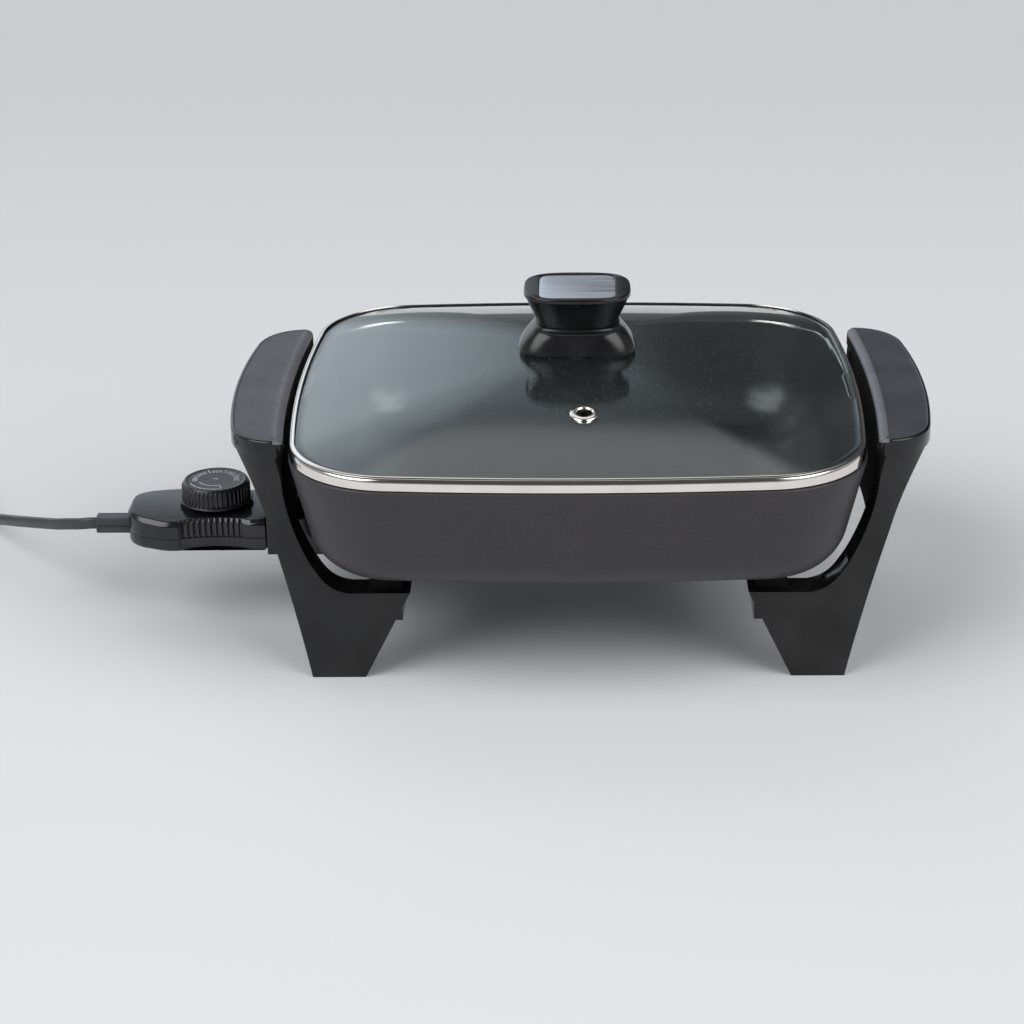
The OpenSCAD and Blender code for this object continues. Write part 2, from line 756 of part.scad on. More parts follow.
gasket_r = 11;
base_z = dome_top_z + gasket_t;
base_top_z = base_z + knob_base_h;
grip_top_z = base_top_z + knob_grip_h;
screw_r = knob_screw_d / 2;
screw_tip_z = base_top_z + 9;

module knob_gasket() {
    color("#2a2a2a") difference() {
        upright(0, 0, dome_top_z, base_z, gasket_r);
        upright(0, 0, dome_top_z - 1, base_z + 1, screw_r + loose_gap);
    }
}

module knob_base() {
    rise = knob_base_h;
    color("#161616") difference() {
        loft([
            knob_ring(knob_base_w - 1.4, knob_base_d - 1.4, base_z),
            knob_ring(knob_base_w, knob_base_d, base_z + 0.8),
            knob_ring(knob_base_w - 0.8, knob_base_d - 0.6, base_z + rise * 0.15),
            knob_ring(knob_base_w - 4.2, knob_base_d - 2.2, base_z + rise * 0.36),
            knob_ring(knob_base_w - 9.4, knob_base_d - 4.2, base_z + rise * 0.6),
            knob_ring(knob_base_w - 14.8, knob_base_d - 5.6, base_z + rise * 0.8),
            knob_ring(knob_neck_w + 4.4, knob_neck_d + 1, base_z + rise * 0.93),
            knob_ring(knob_neck_w + 2.2, knob_neck_d + 0.6, base_top_z)
        ]);
        upright(0, 0, base_z - 1, base_top_z + 1, screw_r + loose_gap);
    }
}

insert_recess = 0.5;

module knob_grip() {
    flare = knob_grip_h - 3;
    color("#161616") difference() {
        loft([
            knob_ring(knob_neck_w, knob_neck_d, base_top_z),
            knob_ring(knob_neck_w + 1.2, knob_neck_d + 1.4, base_top_z + flare * 0.1),
            knob_ring(knob_neck_w + 5, knob_neck_d + 4.6, base_top_z + flare * 0.36),
            knob_ring(knob_top_w - 6, knob_top_d - 5.6, base_top_z + flare * 0.68),
            knob_ring(knob_top_w - 0.8, knob_top_d - 0.8, base_top_z + flare),
            knob_ring(knob_top_w, knob_top_d, grip_top_z - 2.6),
            knob_ring(knob_top_w - 0.4, knob_top_d - 0.4, grip_top_z - 1.4),
            knob_ring(knob_top_w - 2.2, knob_top_d - 2.2, grip_top_z)
        ]);
        translate([0, 0, grip_top_z - insert_t - insert_recess]) linear_extrude(insert_t + 2)
            polygon([for (p = knob_ring(insert_w + 2 * loose_gap, insert_d + 2 * loose_gap, 0, 7))
                [p[0], p[1]]]);
        upright(0, 0, base_top_z - 1, screw_tip_z + 0.5, screw_r + running_gap);
    }
}

module knob_insert() {
    color("#989ca6") translate([0, 0, grip_top_z - insert_t - insert_recess])
        linear_extrude(insert_t)
            polygon([for (p = knob_ring(insert_w, insert_d, 0, 7)) [p[0], p[1]]]);
}

knob_washer_t = 1;
knob_washer_r = 7;
under_glass_z = dome_top_z - glass_t;

module knob_washer() {
    color("silver") difference() {
        upright(0, 0, under_glass_z - knob_washer_t, under_glass_z, knob_washer_r);
        upright(0, 0, under_glass_z - knob_washer_t - 1, under_glass_z + 1,
                screw_r + running_gap);
    }
}

module knob_screw() {
    seat = under_glass_z - knob_washer_t;
    color("silver") {
        upright(0, 0, seat, screw_tip_z, screw_r);
        upright(0, 0, seat - 2.8, seat, screw_r * 1.9);
    }
}

// ---- Temperature control -------------------------------------------------------------
// Plan of the housing for y >= 0, tail first. inset moves it inwards.

shoulder_x = guard_x + guard_gap;
// Length of the tail's rounded corners
tail_turn = 14;

function housing_half_plan(inset) =
    let (y = ctl_y - inset, tail = ctl_tail_x - inset, nose = shoulder_y - inset)
    let (waist = (8 * (waist_y - inset) - y - nose) / 6)
    [
        each bezier([-tail, 6], [-tail, 12.5 - inset], [-tail + 3.5, 18 - inset],
                    [-tail + tail_turn - 3.5, y - 5], 5),
        each bezier([-tail + tail_turn, y - 3.8], [-tail + tail_turn + 4, y - 2.2],
                    [-tail + tail_turn + 8, y], [-dial_x - waist_half - 1.5, y], 4),
        each bezier([-dial_x - waist_half + 2.5, y - 0.2], [-dial_x - waist_half / 2, waist],
                    [-dial_x + waist_half / 2, waist], [-dial_x + waist_half, nose], 8),
        [-shoulder_x - 0.5 - inset, nose],
        [-shoulder_x - inset, nose - 0.5]
    ];

function housing_plan(inset) =
    let (half = housing_half_plan(inset))
    [each half, for (i = [len(half) - 1 : -1 : 0]) [half[i][0], -half[i][1]]];

crown_top = ctl_edge_z + crown_r - sqrt(crown_r * crown_r - ctl_y * ctl_y);

module crown(drop) {
    translate([-ctl_tail_x - 5, 0, crown_top - crown_r])
        rotate([0, 90, 0]) cylinder(r = crown_r - drop, h = ctl_tail_x, $fn = 200);
}

module housing_body(inset, z0, z1) {
    intersection() {
        translate([0, 0, z0]) linear_extrude(z1 - z0) polygon(housing_plan(inset));
        crown(inset);
    }
}

module nose_body(inset, z0, z1) {
    translate([-shoulder_x - 2 - inset, -nose_y + inset, z0])
        cube([shoulder_x + 2 - nose_x, 2 * (nose_y - inset), z1 - z0]);
}

ring_r = dial_d / 2 - 2.3;
ring_wall = 1.2;
dial_gap = 0.4;
dial_z0 = dial_ring_z + dial_gap;
hub_r = 5;
post_r = 3.2;
post_hole_r = 1.3;
tail_post = [ctl_tail_x - 11, 14];
nose_post = [shoulder_x + 9.9, shoulder_y - 5.6];
post_places = [for (p = [tail_post, nose_post], side = [-1, 1]) [-p[0], side * p[1]]];
split_gap = 0.05;
relief_neck_h = relief_h - 4;
relief_neck_d = relief_d - 3;
// Seat of the housing screws' heads
screw_floor_z = ctl_z0 + 4;

module relief_slot(z0, z1) {
    translate([-ctl_tail_x - 1, -relief_neck_d / 2 - loose_gap, z0])
        cube([ctl_wall + 2, relief_neck_d + 2 * loose_gap, z1 - z0]);
}

module plug_end_holes() {
    for (y = [-pin_y, pin_y])
        along_x(-nose_x - ctl_wall - 1, -nose_x + 1, y, element_z, pin_d / 2 + 0.5);
    along_x(-nose_x - ctl_wall - 1, -nose_x + 1, 0, element_z, probe_d / 2 + loose_gap);
}

module control_upper_housing() {
    split = ctl_split_z + split_gap;
    color("#242428") difference() {
        union() {
            difference() {
                union() {
                    housing_body(0, split, crown_top + 1);
                    nose_body(0, split, nose_top_z);
                    upright(-dial_x, 0, ctl_edge_z - 3, dial_ring_z, ring_r);
                }
                housing_body(ctl_wall, split - 1, crown_top);
                nose_body(ctl_wall, split - 1, nose_top_z - nose_roof);
            }
            intersection() {
                for (p = post_places) upright(p[0], p[1], split, crown_top, post_r);
                housing_body(1, split, crown_top);
            }
        }
        // Recess that the dial's foot turns in, and the hole for the bushing
        upright(-dial_x, 0, crown_top + 0.6, dial_ring_z + 1, ring_r - ring_wall);
        upright(-dial_x, 0, ctl_edge_z - 6, dial_ring_z + 1, bushing_r + loose_gap);
        for (p = post_places) upright(p[0], p[1], split - 1, split + 7, post_hole_r);
        relief_slot(split - 1, relief_z + relief_neck_h / 2 + loose_gap);
        plug_end_holes();
    }
}

module control_lower_housing() {
    color("#242428") difference() {
        union() {
            difference() {
                union() {
                    housing_body(1.2, ctl_z0, ctl_split_z);
                    housing_body(0, ctl_z0 + 1.2, ctl_split_z);
                    nose_body(0, ctl_z0 + 0.6, ctl_split_z);
                }
                housing_body(ctl_wall, ctl_z0 + ctl_wall, ctl_split_z + 1);
                nose_body(ctl_wall, ctl_z0 + ctl_wall, ctl_split_z + 1);
            }
            for (p = post_places) upright(p[0], p[1], ctl_z0 + 1.5, ctl_split_z, post_r);
        }
        for (p = post_places) {
            upright(p[0], p[1], ctl_z0 - 1, ctl_split_z + 1, post_hole_r + loose_gap);
            upright(p[0], p[1], ctl_z0 - 1, screw_floor_z, post_r - 0.6);
        }
        relief_slot(relief_z - relief_neck_h / 2 - loose_gap, ctl_split_z + 1);
        plug_end_holes();
    }
}

module housing_screws() {
    color("silver") for (p = post_places) {
        upright(p[0], p[1], screw_floor_z, ctl_split_z + 5.5, post_hole_r - running_gap);
        upright(p[0], p[1], screw_floor_z - 2, screw_floor_z, post_r - 0.8);
    }
}

// Length of the terminal block and the gap to the thermostat's frame
block_len = 28;
block_gap = 10;
block_x0 = nose_x + block_len;
block_x1 = nose_x + ctl_wall + 0.1;
terminal_wall = 0.7;
terminal_in_r = pin_d / 2 + 0.1;
terminal_out_r = terminal_in_r + terminal_wall;
inside_floor_z = ctl_z0 + ctl_wall;
block_z1 = nose_top_z - nose_roof - 0.1;

module terminal_block() {
    color("#5a4636") difference() {
        translate([-block_x0, -nose_y + ctl_wall + 0.1, inside_floor_z + 0.1])
            cube([block_x0 - block_x1, 2 * (nose_y - ctl_wall - 0.1),
                  block_z1 - inside_floor_z - 0.1]);
        for (y = [-pin_y, pin_y])
            along_x(-block_x0 - 1, -block_x1 + 1, y, element_z, terminal_out_r + running_gap);
        along_x(-block_x0 - 1, -block_x1 + 1, 0, element_z, probe_d / 2 + loose_gap);
    }
}

module socket_terminals() {
    color("goldenrod") for (y = [-pin_y, pin_y]) difference() {
        along_x(-block_x0 - 3, -block_x1, y, element_z, terminal_out_r);
        along_x(-block_x0 + 3, -block_x1 + 1, y, element_z, terminal_in_r);
    }
}

frame_x = block_x0 + block_gap;
frame_t = 1.5;
frame_y = 11;
rod_d = 3;

module probe_tube() {
    color("lightgray") difference() {
        along_x(-frame_x - 2, -nose_x + probe_len, 0, element_z, probe_d / 2);
        along_x(-frame_x - 3, -nose_x + probe_len - 2, 0, element_z, rod_d / 2 + running_gap);
    }
}

module probe_rod() {
    color("darkkhaki")
        along_x(-frame_x - 6, -nose_x + probe_len - 2, 0, element_z, rod_d / 2);
}

bushing_r = 5;
bushing_z0 = element_z + 1.6;
frame_top_z = 63.8;
shaft_end_z = 57.2;

module thermostat_frame() {
    frame_x0 = stack_x + spacer_half;
    color("darkgray") difference() {
        union() {
            // Base plate, front flange and top plate
            translate([-frame_x0, -frame_y, inside_floor_z])
                cube([frame_x0 - frame_x, 2 * frame_y, frame_t]);
            translate([-frame_x, -frame_y, inside_floor_z])
                cube([frame_t, 2 * frame_y, frame_top_z - inside_floor_z]);
            translate([-dial_x - 8, -8, frame_top_z - frame_t])
                cube([dial_x + 8 - frame_x + frame_t, 16, frame_t]);
            upright(-dial_x, 0, bushing_z0, dial_ring_z - 0.6, bushing_r);
        }
        upright(-dial_x, 0, bushing_z0 - 1, dial_ring_z + 1, shaft_d / 2 + running_gap);
        along_x(-frame_x - 3, -frame_x + frame_t + 1, 0, element_z, probe_d / 2 + running_gap);
        upright(-stack_x, 0, inside_floor_z - 1, inside_floor_z + frame_t + 1,
                rivet_r + running_gap);
    }
}

// Distance of the switch stack behind the dial's axis
stack_set = 20;
stack_x = dial_x + stack_set;
spacer_half = 5;
rivet_r = 1.5;
leaf_t = 0.4;
leaf_w = 6;
leaf_tip_x = dial_x - 12;
lower_leaf_z = inside_floor_z + frame_t + 1.7;
upper_leaf_z = lower_leaf_z + leaf_t + 2;
stack_top_z = upper_leaf_z + leaf_t + 1.8;
contact_r = 2;

module contact_leaves() {
    color("peru") for (z = [lower_leaf_z, upper_leaf_z]) difference() {
        union() {
            translate([-stack_x - spacer_half, -leaf_w / 2, z])
                cube([stack_x + spacer_half - leaf_tip_x, leaf_w, leaf_t]);
            upright(-leaf_tip_x - 3, 0, z == lower_leaf_z ? z : z - 0.9,
                    z == lower_leaf_z ? z + 1.2 : z + leaf_t, contact_r);
        }
        upright(-stack_x, 0, z - 1, z + leaf_t + 1, rivet_r + running_gap);
    }
}

module leaf_spacers() {
    levels = [
        [inside_floor_z + frame_t, lower_leaf_z],
        [lower_leaf_z + leaf_t, upper_leaf_z],
        [upper_leaf_z + leaf_t, stack_top_z]
    ];
    color("ivory") for (l = levels) difference() {
        translate([-stack_x - spacer_half, -leaf_w / 2 - 0.5, l[0]])
            cube([2 * spacer_half, leaf_w + 1, l[1] - l[0]]);
        upright(-stack_x, 0, l[0] - 1, l[1] + 1, rivet_r + running_gap);
    }
}

module stack_rivet() {
    color("silver") {
        upright(-stack_x, 0, inside_floor_z + 0.3, stack_top_z, rivet_r);
        upright(-stack_x, 0, stack_top_z, stack_top_z + 1, rivet_r * 1.7);
    }
}

// Leads from the strain relief to the socket terminals, one each side
relief_inner_x = ctl_tail_x - ctl_wall - 2;
lead_route = [
    [-relief_inner_x, 2.2, relief_z], [-relief_inner_x + 2, 2.2, relief_z],
    [-relief_inner_x + 6, 4.2, relief_z + 0.2], [-relief_inner_x + 13, 8.8, relief_z + 1],
    [-relief_inner_x + 22, 13.2, relief_z + 2.2], [-relief_inner_x + 35, 14.6, element_z - 1],
    [-relief_inner_x + 52, 14.6, element_z], [-block_x0 - 8, pin_y, element_z],
    [-block_x0 - 3, pin_y, element_z]
];
lead_d = 2;

module internal_leads() {
    color("white") for (side = [0, 1]) mirror([0, side, 0])
        tube(lead_route, lead_d, lead_d, 8);
}

module strain_relief() {
    neck_x = ctl_tail_x - ctl_wall;
    color("#1a1a1c") {
        translate([-ctl_tail_x - relief_len, -relief_d / 2, relief_z - relief_h / 2])
            cube([relief_len, relief_d, relief_h]);
        translate([-ctl_tail_x, -relief_neck_d / 2, relief_z - relief_neck_h / 2])
            cube([ctl_tail_x - neck_x, relief_neck_d, relief_neck_h]);
        translate([-neck_x, -relief_d / 2 - 1, relief_z - relief_h / 2 + 1])
            cube([2, relief_d + 2, relief_h - 2]);
    }
}

// ---- Dial --------------------------------------------------------------------------

dial_chamfer = 2.4;
dial_flange_t = 1.3;
dial_skin = 2;

module control_dial() {
    rib_r = dial_d / 2;
    face_r = rib_r - rib_depth - 0.2;
    top_z = dial_z0 + dial_h;
    color("#1e1e22") difference() {
        union() {
            upright(-dial_x, 0, dial_z0, dial_z0 + dial_flange_t, dial_flange_d / 2);
            translate([-dial_x, 0, dial_z0]) linear_extrude(dial_h - dial_chamfer)
                polygon([for (i = [0 : 2 * dial_ribs - 1])
                    let (r = rib_r - (i % 2) * rib_depth, a = 180 * i / dial_ribs)
                    [r * cos(a), r * sin(a)]]);
            translate([-dial_x, 0, top_z - dial_chamfer - 0.5])
                cylinder(r = face_r, h = 1);
            translate([-dial_x, 0, top_z - dial_chamfer])
                cylinder(r1 = face_r, r2 = face_r - 1, h = dial_chamfer);
        }
        difference() {
            upright(-dial_x, 0, dial_z0 - 1, top_z - dial_skin, face_r - dial_skin);
            upright(-dial_x, 0, dial_z0 - 2, top_z, hub_r);
        }
        upright(-dial_x, 0, dial_z0 - 1, top_z - dial_skin - 0.5, shaft_d / 2 + running_gap);
    }
}

module dial_shaft() {
    color("silver")
        upright(-dial_x, 0, shaft_end_z, dial_z0 + dial_h - dial_skin - 0.7, shaft_d / 2);
}

// ---- Cord ------------------------------------------------------------------------------
// The route's points are chosen by hand; the coil and what follows it are worked out.

cord_route = [
    [-ctl_tail_x - relief_len, 0, relief_z], [-ctl_tail_x - relief_len - 2.5, 0, relief_z],
    [-288.5, 1.3, 53.6], [-293, 3.4, 52.4],
    [-300.5, 9, 50], [-309.5, 17, 46.5],
    [-319, 27.5, 42.5], [-331, 41, 37.5], [-343.5, 57, 31.5], [-356, 74.5, 25],
    [-365, 91, 17.8], [-372, 107, 11], [-378, 122, 6.6], [-383.5, 137, 4.7], [-389, 152, 4.4]
];
// Where the route would touch the middle of the coil's outermost turn, and its heading
coil_start = [-394, 166];
coil_start_heading = 110;
coil_z0 = 0.9;
coil_centre = coil_start
    - coil_r * [cos(coil_start_heading - 90), sin(coil_start_heading - 90)];
coil_out_r = coil_r + cord_t / 2;
coil_in_r = coil_r - coil_turns * coil_pitch - cord_t / 2;
coil_mid_z = coil_z0 + cord_w / 2;

module coil_ring(z0, z1) {
    translate([coil_centre[0], coil_centre[1], z0])
        rotate_extrude() translate([coil_in_r, 0]) square([coil_out_r - coil_in_r, z1 - z0]);
}

// The end of the cord curls inside the coil as it climbs: angle, distance from the
// coil's inner face, and height over the middle of the coil
tail_curl = [
    [110, 0.5, 0], [122, 1.6, 0.4], [134, 2.8, 1.4], [146, 3.6, 2.8], [158, 4, 4.3],
    [169, 4.2, 5.8], [180, 4.2, 6.8]
];
// It then runs straight over the coil: share of the way to the plug, and height
tail_run = [
    [0.16, 7.5], [0.34, 7.6], [0.53, 7.6], [0.75, 7.5], [0.86, 5.8], [0.95, 3.6], [1, 3.6]
];
tail_r = coil_in_r - tail_curl[len(tail_curl) - 1][1];
plug_rear = [coil_centre[0] - tail_r, coil_centre[1] - coil_out_r - 6];
tail_route = [
    for (p = tail_curl) let (r = coil_in_r - p[1])
        [coil_centre[0] + r * cos(p[0]), coil_centre[1] + r * sin(p[0]), coil_mid_z + p[2]],
    for (p = tail_run)
        [plug_rear[0], coil_centre[1] + p[0] * (plug_rear[1] - coil_centre[1]),
         coil_mid_z + p[1]]
];

module power_cord() {
    color("#3a3a40") difference() {
        tube(cord_route, cord_t, cord_w, 10);
        coil_ring(-1, 2 * cord_w);
    }
}

module cord_tail() {
    color("#3a3a40") difference() {
        tube(tail_route, cord_t, cord_w, 10);
        coil_ring(-1, coil_z0 + cord_w);
    }
}

module cord_coil() {
    color("#3a3a40") coil_ring(coil_z0, coil_z0 + cord_w);
}

tie_angle = -60;
tie_w = 7;
tie_t = 0.8;
tie_gap = 0.05;

module cord_tie() {
    x0 = coil_in_r - tie_gap - tie_t - 0.6;
    x1 = coil_out_r + tie_gap + tie_t + 0.6;
    color("#151515") translate([coil_centre[0], coil_centre[1], 0]) rotate([0, 0, tie_angle])
        difference() {
            translate([x0, -tie_w / 2, 0])
                cube([x1 - x0, tie_w, coil_z0 + cord_w + tie_gap + tie_t]);
            translate([x0 + tie_t, -tie_w, coil_z0 - tie_gap])
                cube([x1 - x0 - 2 * tie_t, 2 * tie_w, cord_w + 2 * tie_gap]);
        }
}

// The plug lies on the counter with its rear at the end of the cord, facing -Y
module at_plug() {
    translate([plug_rear[0], plug_rear[1], 0]) rotate([0, 0, -90]) children();
}

blade_w = 6.3;
blade_t = 1.5;
blade_seat = 6;
plug_z = plug_h / 2;

plug_half_plan = [
    [0, 5.5],
    each bezier([6, 5.5], [8, 5.5], [8, plug_w / 2 - 1.5], [13, plug_w / 2 - 0.4], 5),
    [18, plug_w / 2],
    [plug_len - 3, plug_w / 2 - 0.6],
    [plug_len, plug_w / 2 - 2.4]
];
plug_side = [
    [-1, plug_z - 5.5], [7, plug_z - 5.5], [13, 0.6], [16, 0], [plug_len - 2, 0],
    [plug_len + 1, 1.5], [plug_len + 1, plug_h - 1.5], [plug_len - 2, plug_h], [16, plug_h],
    [13, plug_h - 0.6], [7, plug_z + 5.5], [-1, plug_z + 5.5]
];

module plug() {
    n = len(plug_half_plan);
    color("#3a3a40") at_plug() difference() {
        intersection() {
            linear_extrude(plug_h) polygon([
                each plug_half_plan,
                for (i = [n - 1 : -1 : 0]) [plug_half_plan[i][0], -plug_half_plan[i][1]]
            ]);
            translate([0, plug_w, 0]) rotate([90, 0, 0])
                linear_extrude(2 * plug_w) polygon(plug_side);
        }
        blades(running_gap);
    }
}

module blades(gap) {
    for (y = [-blade_pitch / 2, blade_pitch / 2])
        translate([plug_len - blade_seat, y - blade_t / 2 - gap, plug_z - blade_w / 2 - gap])
            cube([blade_seat + blade_len, blade_t + 2 * gap, blade_w + 2 * gap]);
}

module plug_blades() {
    hole_x = plug_len + blade_len - 3.2;
    color("goldenrod") at_plug() difference() {
        blades(0);
        translate([hole_x, plug_w, plug_z]) rotate([90, 0, 0]) cylinder(d = 3.2, h = 2 * plug_w);
        // Bevelled corners of the tips
        for (side = [0, 1]) translate([0, 0, plug_z]) mirror([0, 0, side])
            translate([plug_len + blade_len, -plug_w, blade_w / 2]) rotate([0, 45, 0])
                cube([1.6, 2 * plug_w, 1.6], center = false);
    }
}

pan();
heating_element();
element_insulators();
element_terminal_pins();
socket_guard();
guard_screws();
left_bracket();
right_bracket();
bracket_screws();
bracket_washers();
lid_glass();
lid_rim();
vent_grommet();
knob_gasket();
knob_base();
knob_grip();
knob_insert();
knob_washer();
knob_screw();
control_upper_housing();
control_lower_housing();
housing_screws();
terminal_block();
socket_terminals();
probe_tube();
probe_rod();
thermostat_frame();
contact_leaves();
leaf_spacers();
stack_rivet();
internal_leads();
strain_relief();
control_dial();
dial_shaft();
power_cord();
cord_tail();
cord_coil();
cord_tie();
plug();
plug_blades();
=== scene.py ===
"""Electric skillet with a lift-off glass lid and a plug-in temperature control.

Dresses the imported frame. Metres, +Z up, the counter at Z 0, the control on the -X side
and the front of the skillet towards -Y.
"""

import logging
import math
from dataclasses import dataclass, field
from enum import Enum, IntEnum
from typing import Callable, Sequence

import bmesh
import bpy
from mathutils import Euler, Matrix, Vector


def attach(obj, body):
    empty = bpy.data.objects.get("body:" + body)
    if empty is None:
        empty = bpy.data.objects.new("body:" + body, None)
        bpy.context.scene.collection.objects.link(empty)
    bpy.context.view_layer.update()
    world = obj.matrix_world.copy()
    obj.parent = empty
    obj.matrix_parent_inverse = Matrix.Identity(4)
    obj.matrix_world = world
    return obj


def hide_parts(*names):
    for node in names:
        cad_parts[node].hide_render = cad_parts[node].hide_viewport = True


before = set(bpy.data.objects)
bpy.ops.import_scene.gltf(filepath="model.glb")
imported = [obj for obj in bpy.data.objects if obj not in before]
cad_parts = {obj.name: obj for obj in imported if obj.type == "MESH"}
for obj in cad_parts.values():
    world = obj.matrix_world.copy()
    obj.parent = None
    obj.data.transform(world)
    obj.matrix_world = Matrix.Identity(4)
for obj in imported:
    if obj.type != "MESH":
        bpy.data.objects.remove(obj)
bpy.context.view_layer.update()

log = logging.getLogger("skillet")

MM = 0.001
SMOOTH_ANGLE = math.radians(32)

Plan = list[tuple[float, float]]
Ring = list[tuple[float, float, float]]
Colour = tuple[float, float, float]


class Body(Enum):
    """Moving bodies of the frame."""

    BASE = "base"
    LID = "lid"
    CONTROL = "control"
    DIAL = "dial"


def srgb(red: int, green: int, blue: int) -> Colour:
    """Returns the linear colour of an sRGB triple from 0 to 255."""
    def linear(value: int) -> float:
        """Returns one channel in linear light."""
        share = value / 255
        return share / 12.92 if share <= 0.04045 else ((share + 0.055) / 1.055) ** 2.4

    return (linear(red), linear(green), linear(blue))


def mm(*values: float) -> tuple[float, ...]:
    """Returns millimetres as metres."""
    return tuple(v * MM for v in values)


def arc_steps(steps: int, span: float = math.pi / 2) -> list[float]:
    """Returns the angles of a span in equal steps, without its start."""
    return [span * i / steps for i in range(1, steps + 1)]


# ---- Curves and outlines -------------------------------------------------------------


def bezier(a: Sequence[float], b: Sequence[float], c: Sequence[float], d: Sequence[float],
           steps: int) -> list[tuple[float, ...]]:
    """Samples a cubic curve.

    Args:
        a: Start point.
        b: First handle.
        c: Second handle.
        d: End point.
        steps: Number of pieces.

    Returns:
        steps + 1 points.
    """
    points = []
    for i in range(steps + 1):
        t = i / steps
        u = 1 - t
        weights = (u * u * u, 3 * u * u * t, 3 * u * t * t, t * t * t)
        points.append(tuple(sum(w * p[k] for w, p in zip(weights, (a, b, c, d)))
                            for k in range(len(a))))
    return points


def through(points: Sequence[Sequence[float]], steps: int) -> list[tuple[float, ...]]:
    """Draws a smooth Catmull-Rom curve through points.

    Args:
        points: The points, in order.
        steps: Pieces between two neighbours.

    Returns:
        The points of the finer line, ends included.
    """
    dims = range(len(points[0]))
    last = len(points) - 1
    line = []
    for i in range(last):
        p = [points[max(i - 1, 0)], points[i], points[i + 1], points[min(i + 2, last)]]
        for s in range(steps):
            t = s / steps
            line.append(tuple(
                0.5 * (2 * p[1][k] + (p[2][k] - p[0][k]) * t
                       + (2 * p[0][k] - 5 * p[1][k] + 4 * p[2][k] - p[3][k]) * t * t
                       + (3 * p[1][k] - p[0][k] - 3 * p[2][k] + p[3][k]) * t * t * t)
                for k in dims))
    line.append(tuple(points[last]))
    return line


def inset_plan(plan: Plan, distance: float) -> Plan:
    """Moves each point of a closed anticlockwise plan inwards along its normal.

    Args:
        plan: The points.
        distance: How far to move them.

    Returns:
        The moved points, one for each.
    """
    count = len(plan)
    moved = []
    for i, (x, y) in enumerate(plan):
        before, after = plan[i - 1], plan[(i + 1) % count]
        run = Vector((after[0] - before[0], after[1] - before[1]))
        run.normalize()
        moved.append((x - run.y * distance, y + run.x * distance))
    return moved


@dataclass(frozen=True)
class BowedRectangle:
    """Rounded rectangle whose four sides are bowed arcs."""

    width: float
    depth: float
    corner: float
    side_bow: float = math.radians(5.3)
    front_bow: float = math.radians(4.3)
    steps: tuple[int, int, int] = (7, 24, 7)

    def _reaches(self) -> tuple[float, float]:
        """Returns the distances of the side and front arcs' centres from the corner's."""
        s, f = self.side_bow, self.front_bow
        across, along = self.width / 2 - self.corner, self.depth / 2 - self.corner
        det = math.sin(s) * math.sin(f) - (1 - math.cos(s)) * (1 - math.cos(f))
        side = (along * math.sin(f) - across * (1 - math.cos(f))) / det
        front = (across * math.sin(s) - along * (1 - math.cos(s))) / det
        return side, front

    def side_radius(self) -> float:
        """Returns the radius of the bowed side."""
        return self._reaches()[0] + self.corner

    def point(self, angle: float, offset: float) -> tuple[float, float]:
        """Returns the point whose normal has this angle, moved out by the offset."""
        c, s = math.cos(angle), math.sin(angle)
        turn = math.atan2(abs(s), abs(c))
        side, front = self._reaches()
        if turn <= self.side_bow:
            centre, radius = (self.width / 2 - self.corner - side, 0.0), side + self.corner
        elif turn <= math.pi / 2 - self.front_bow:
            centre = (front * math.sin(self.front_bow), side * math.sin(self.side_bow))
            radius = self.corner
        else:
            centre, radius = (0.0, self.depth / 2 - self.corner - front), front + self.corner
        return (math.copysign(1, c) * centre[0] + (radius + offset) * c,
                math.copysign(1, s) * centre[1] + (radius + offset) * s)

    def angles(self) -> list[float]:
        """Returns the normals' angles once round, denser on the corners."""
        side, corner, front = self.steps
        quarter = [self.side_bow * i / side for i in range(side)]
        span = math.pi / 2 - self.side_bow - self.front_bow
        quarter += [self.side_bow + span * i / corner for i in range(corner)]
        quarter += [math.pi / 2 - self.front_bow * (1 - i / front) for i in range(front)]
        half = quarter + [math.pi / 2] + [math.pi - a for a in reversed(quarter[1:])]
        return half + [a + math.pi for a in half]

    def ring(self, offset: float, height: float) -> Ring:
        """Returns the outline at an offset and a height."""
        return [(*self.point(a, offset), height) for a in self.angles()]


def superellipse(width: float, depth: float, height: float, power: float = 3.2,
                 count: int = 96) -> Ring:
    """Returns a ring between an ellipse and a rectangle.

    Args:
        width: Size along X.
        depth: Size along Y.
        height: Place on Z.
        power: 2 is an ellipse, and more is squarer.
        count: Number of points.
    """
    ring = []
    for i in range(count):
        c, s = math.cos(math.tau * i / count), math.sin(math.tau * i / count)
        ring.append((width / 2 * math.copysign(abs(c) ** (2 / power), c),
                     depth / 2 * math.copysign(abs(s) ** (2 / power), s), height))
    return ring


# ---- Meshes --------------------------------------------------------------------------


def linked(name: str, data: bpy.types.ID) -> bpy.types.Object:
    """Returns a new object for some data, linked to the scene."""
    made = bpy.data.objects.new(name, data)
    bpy.context.scene.collection.objects.link(made)
    return made


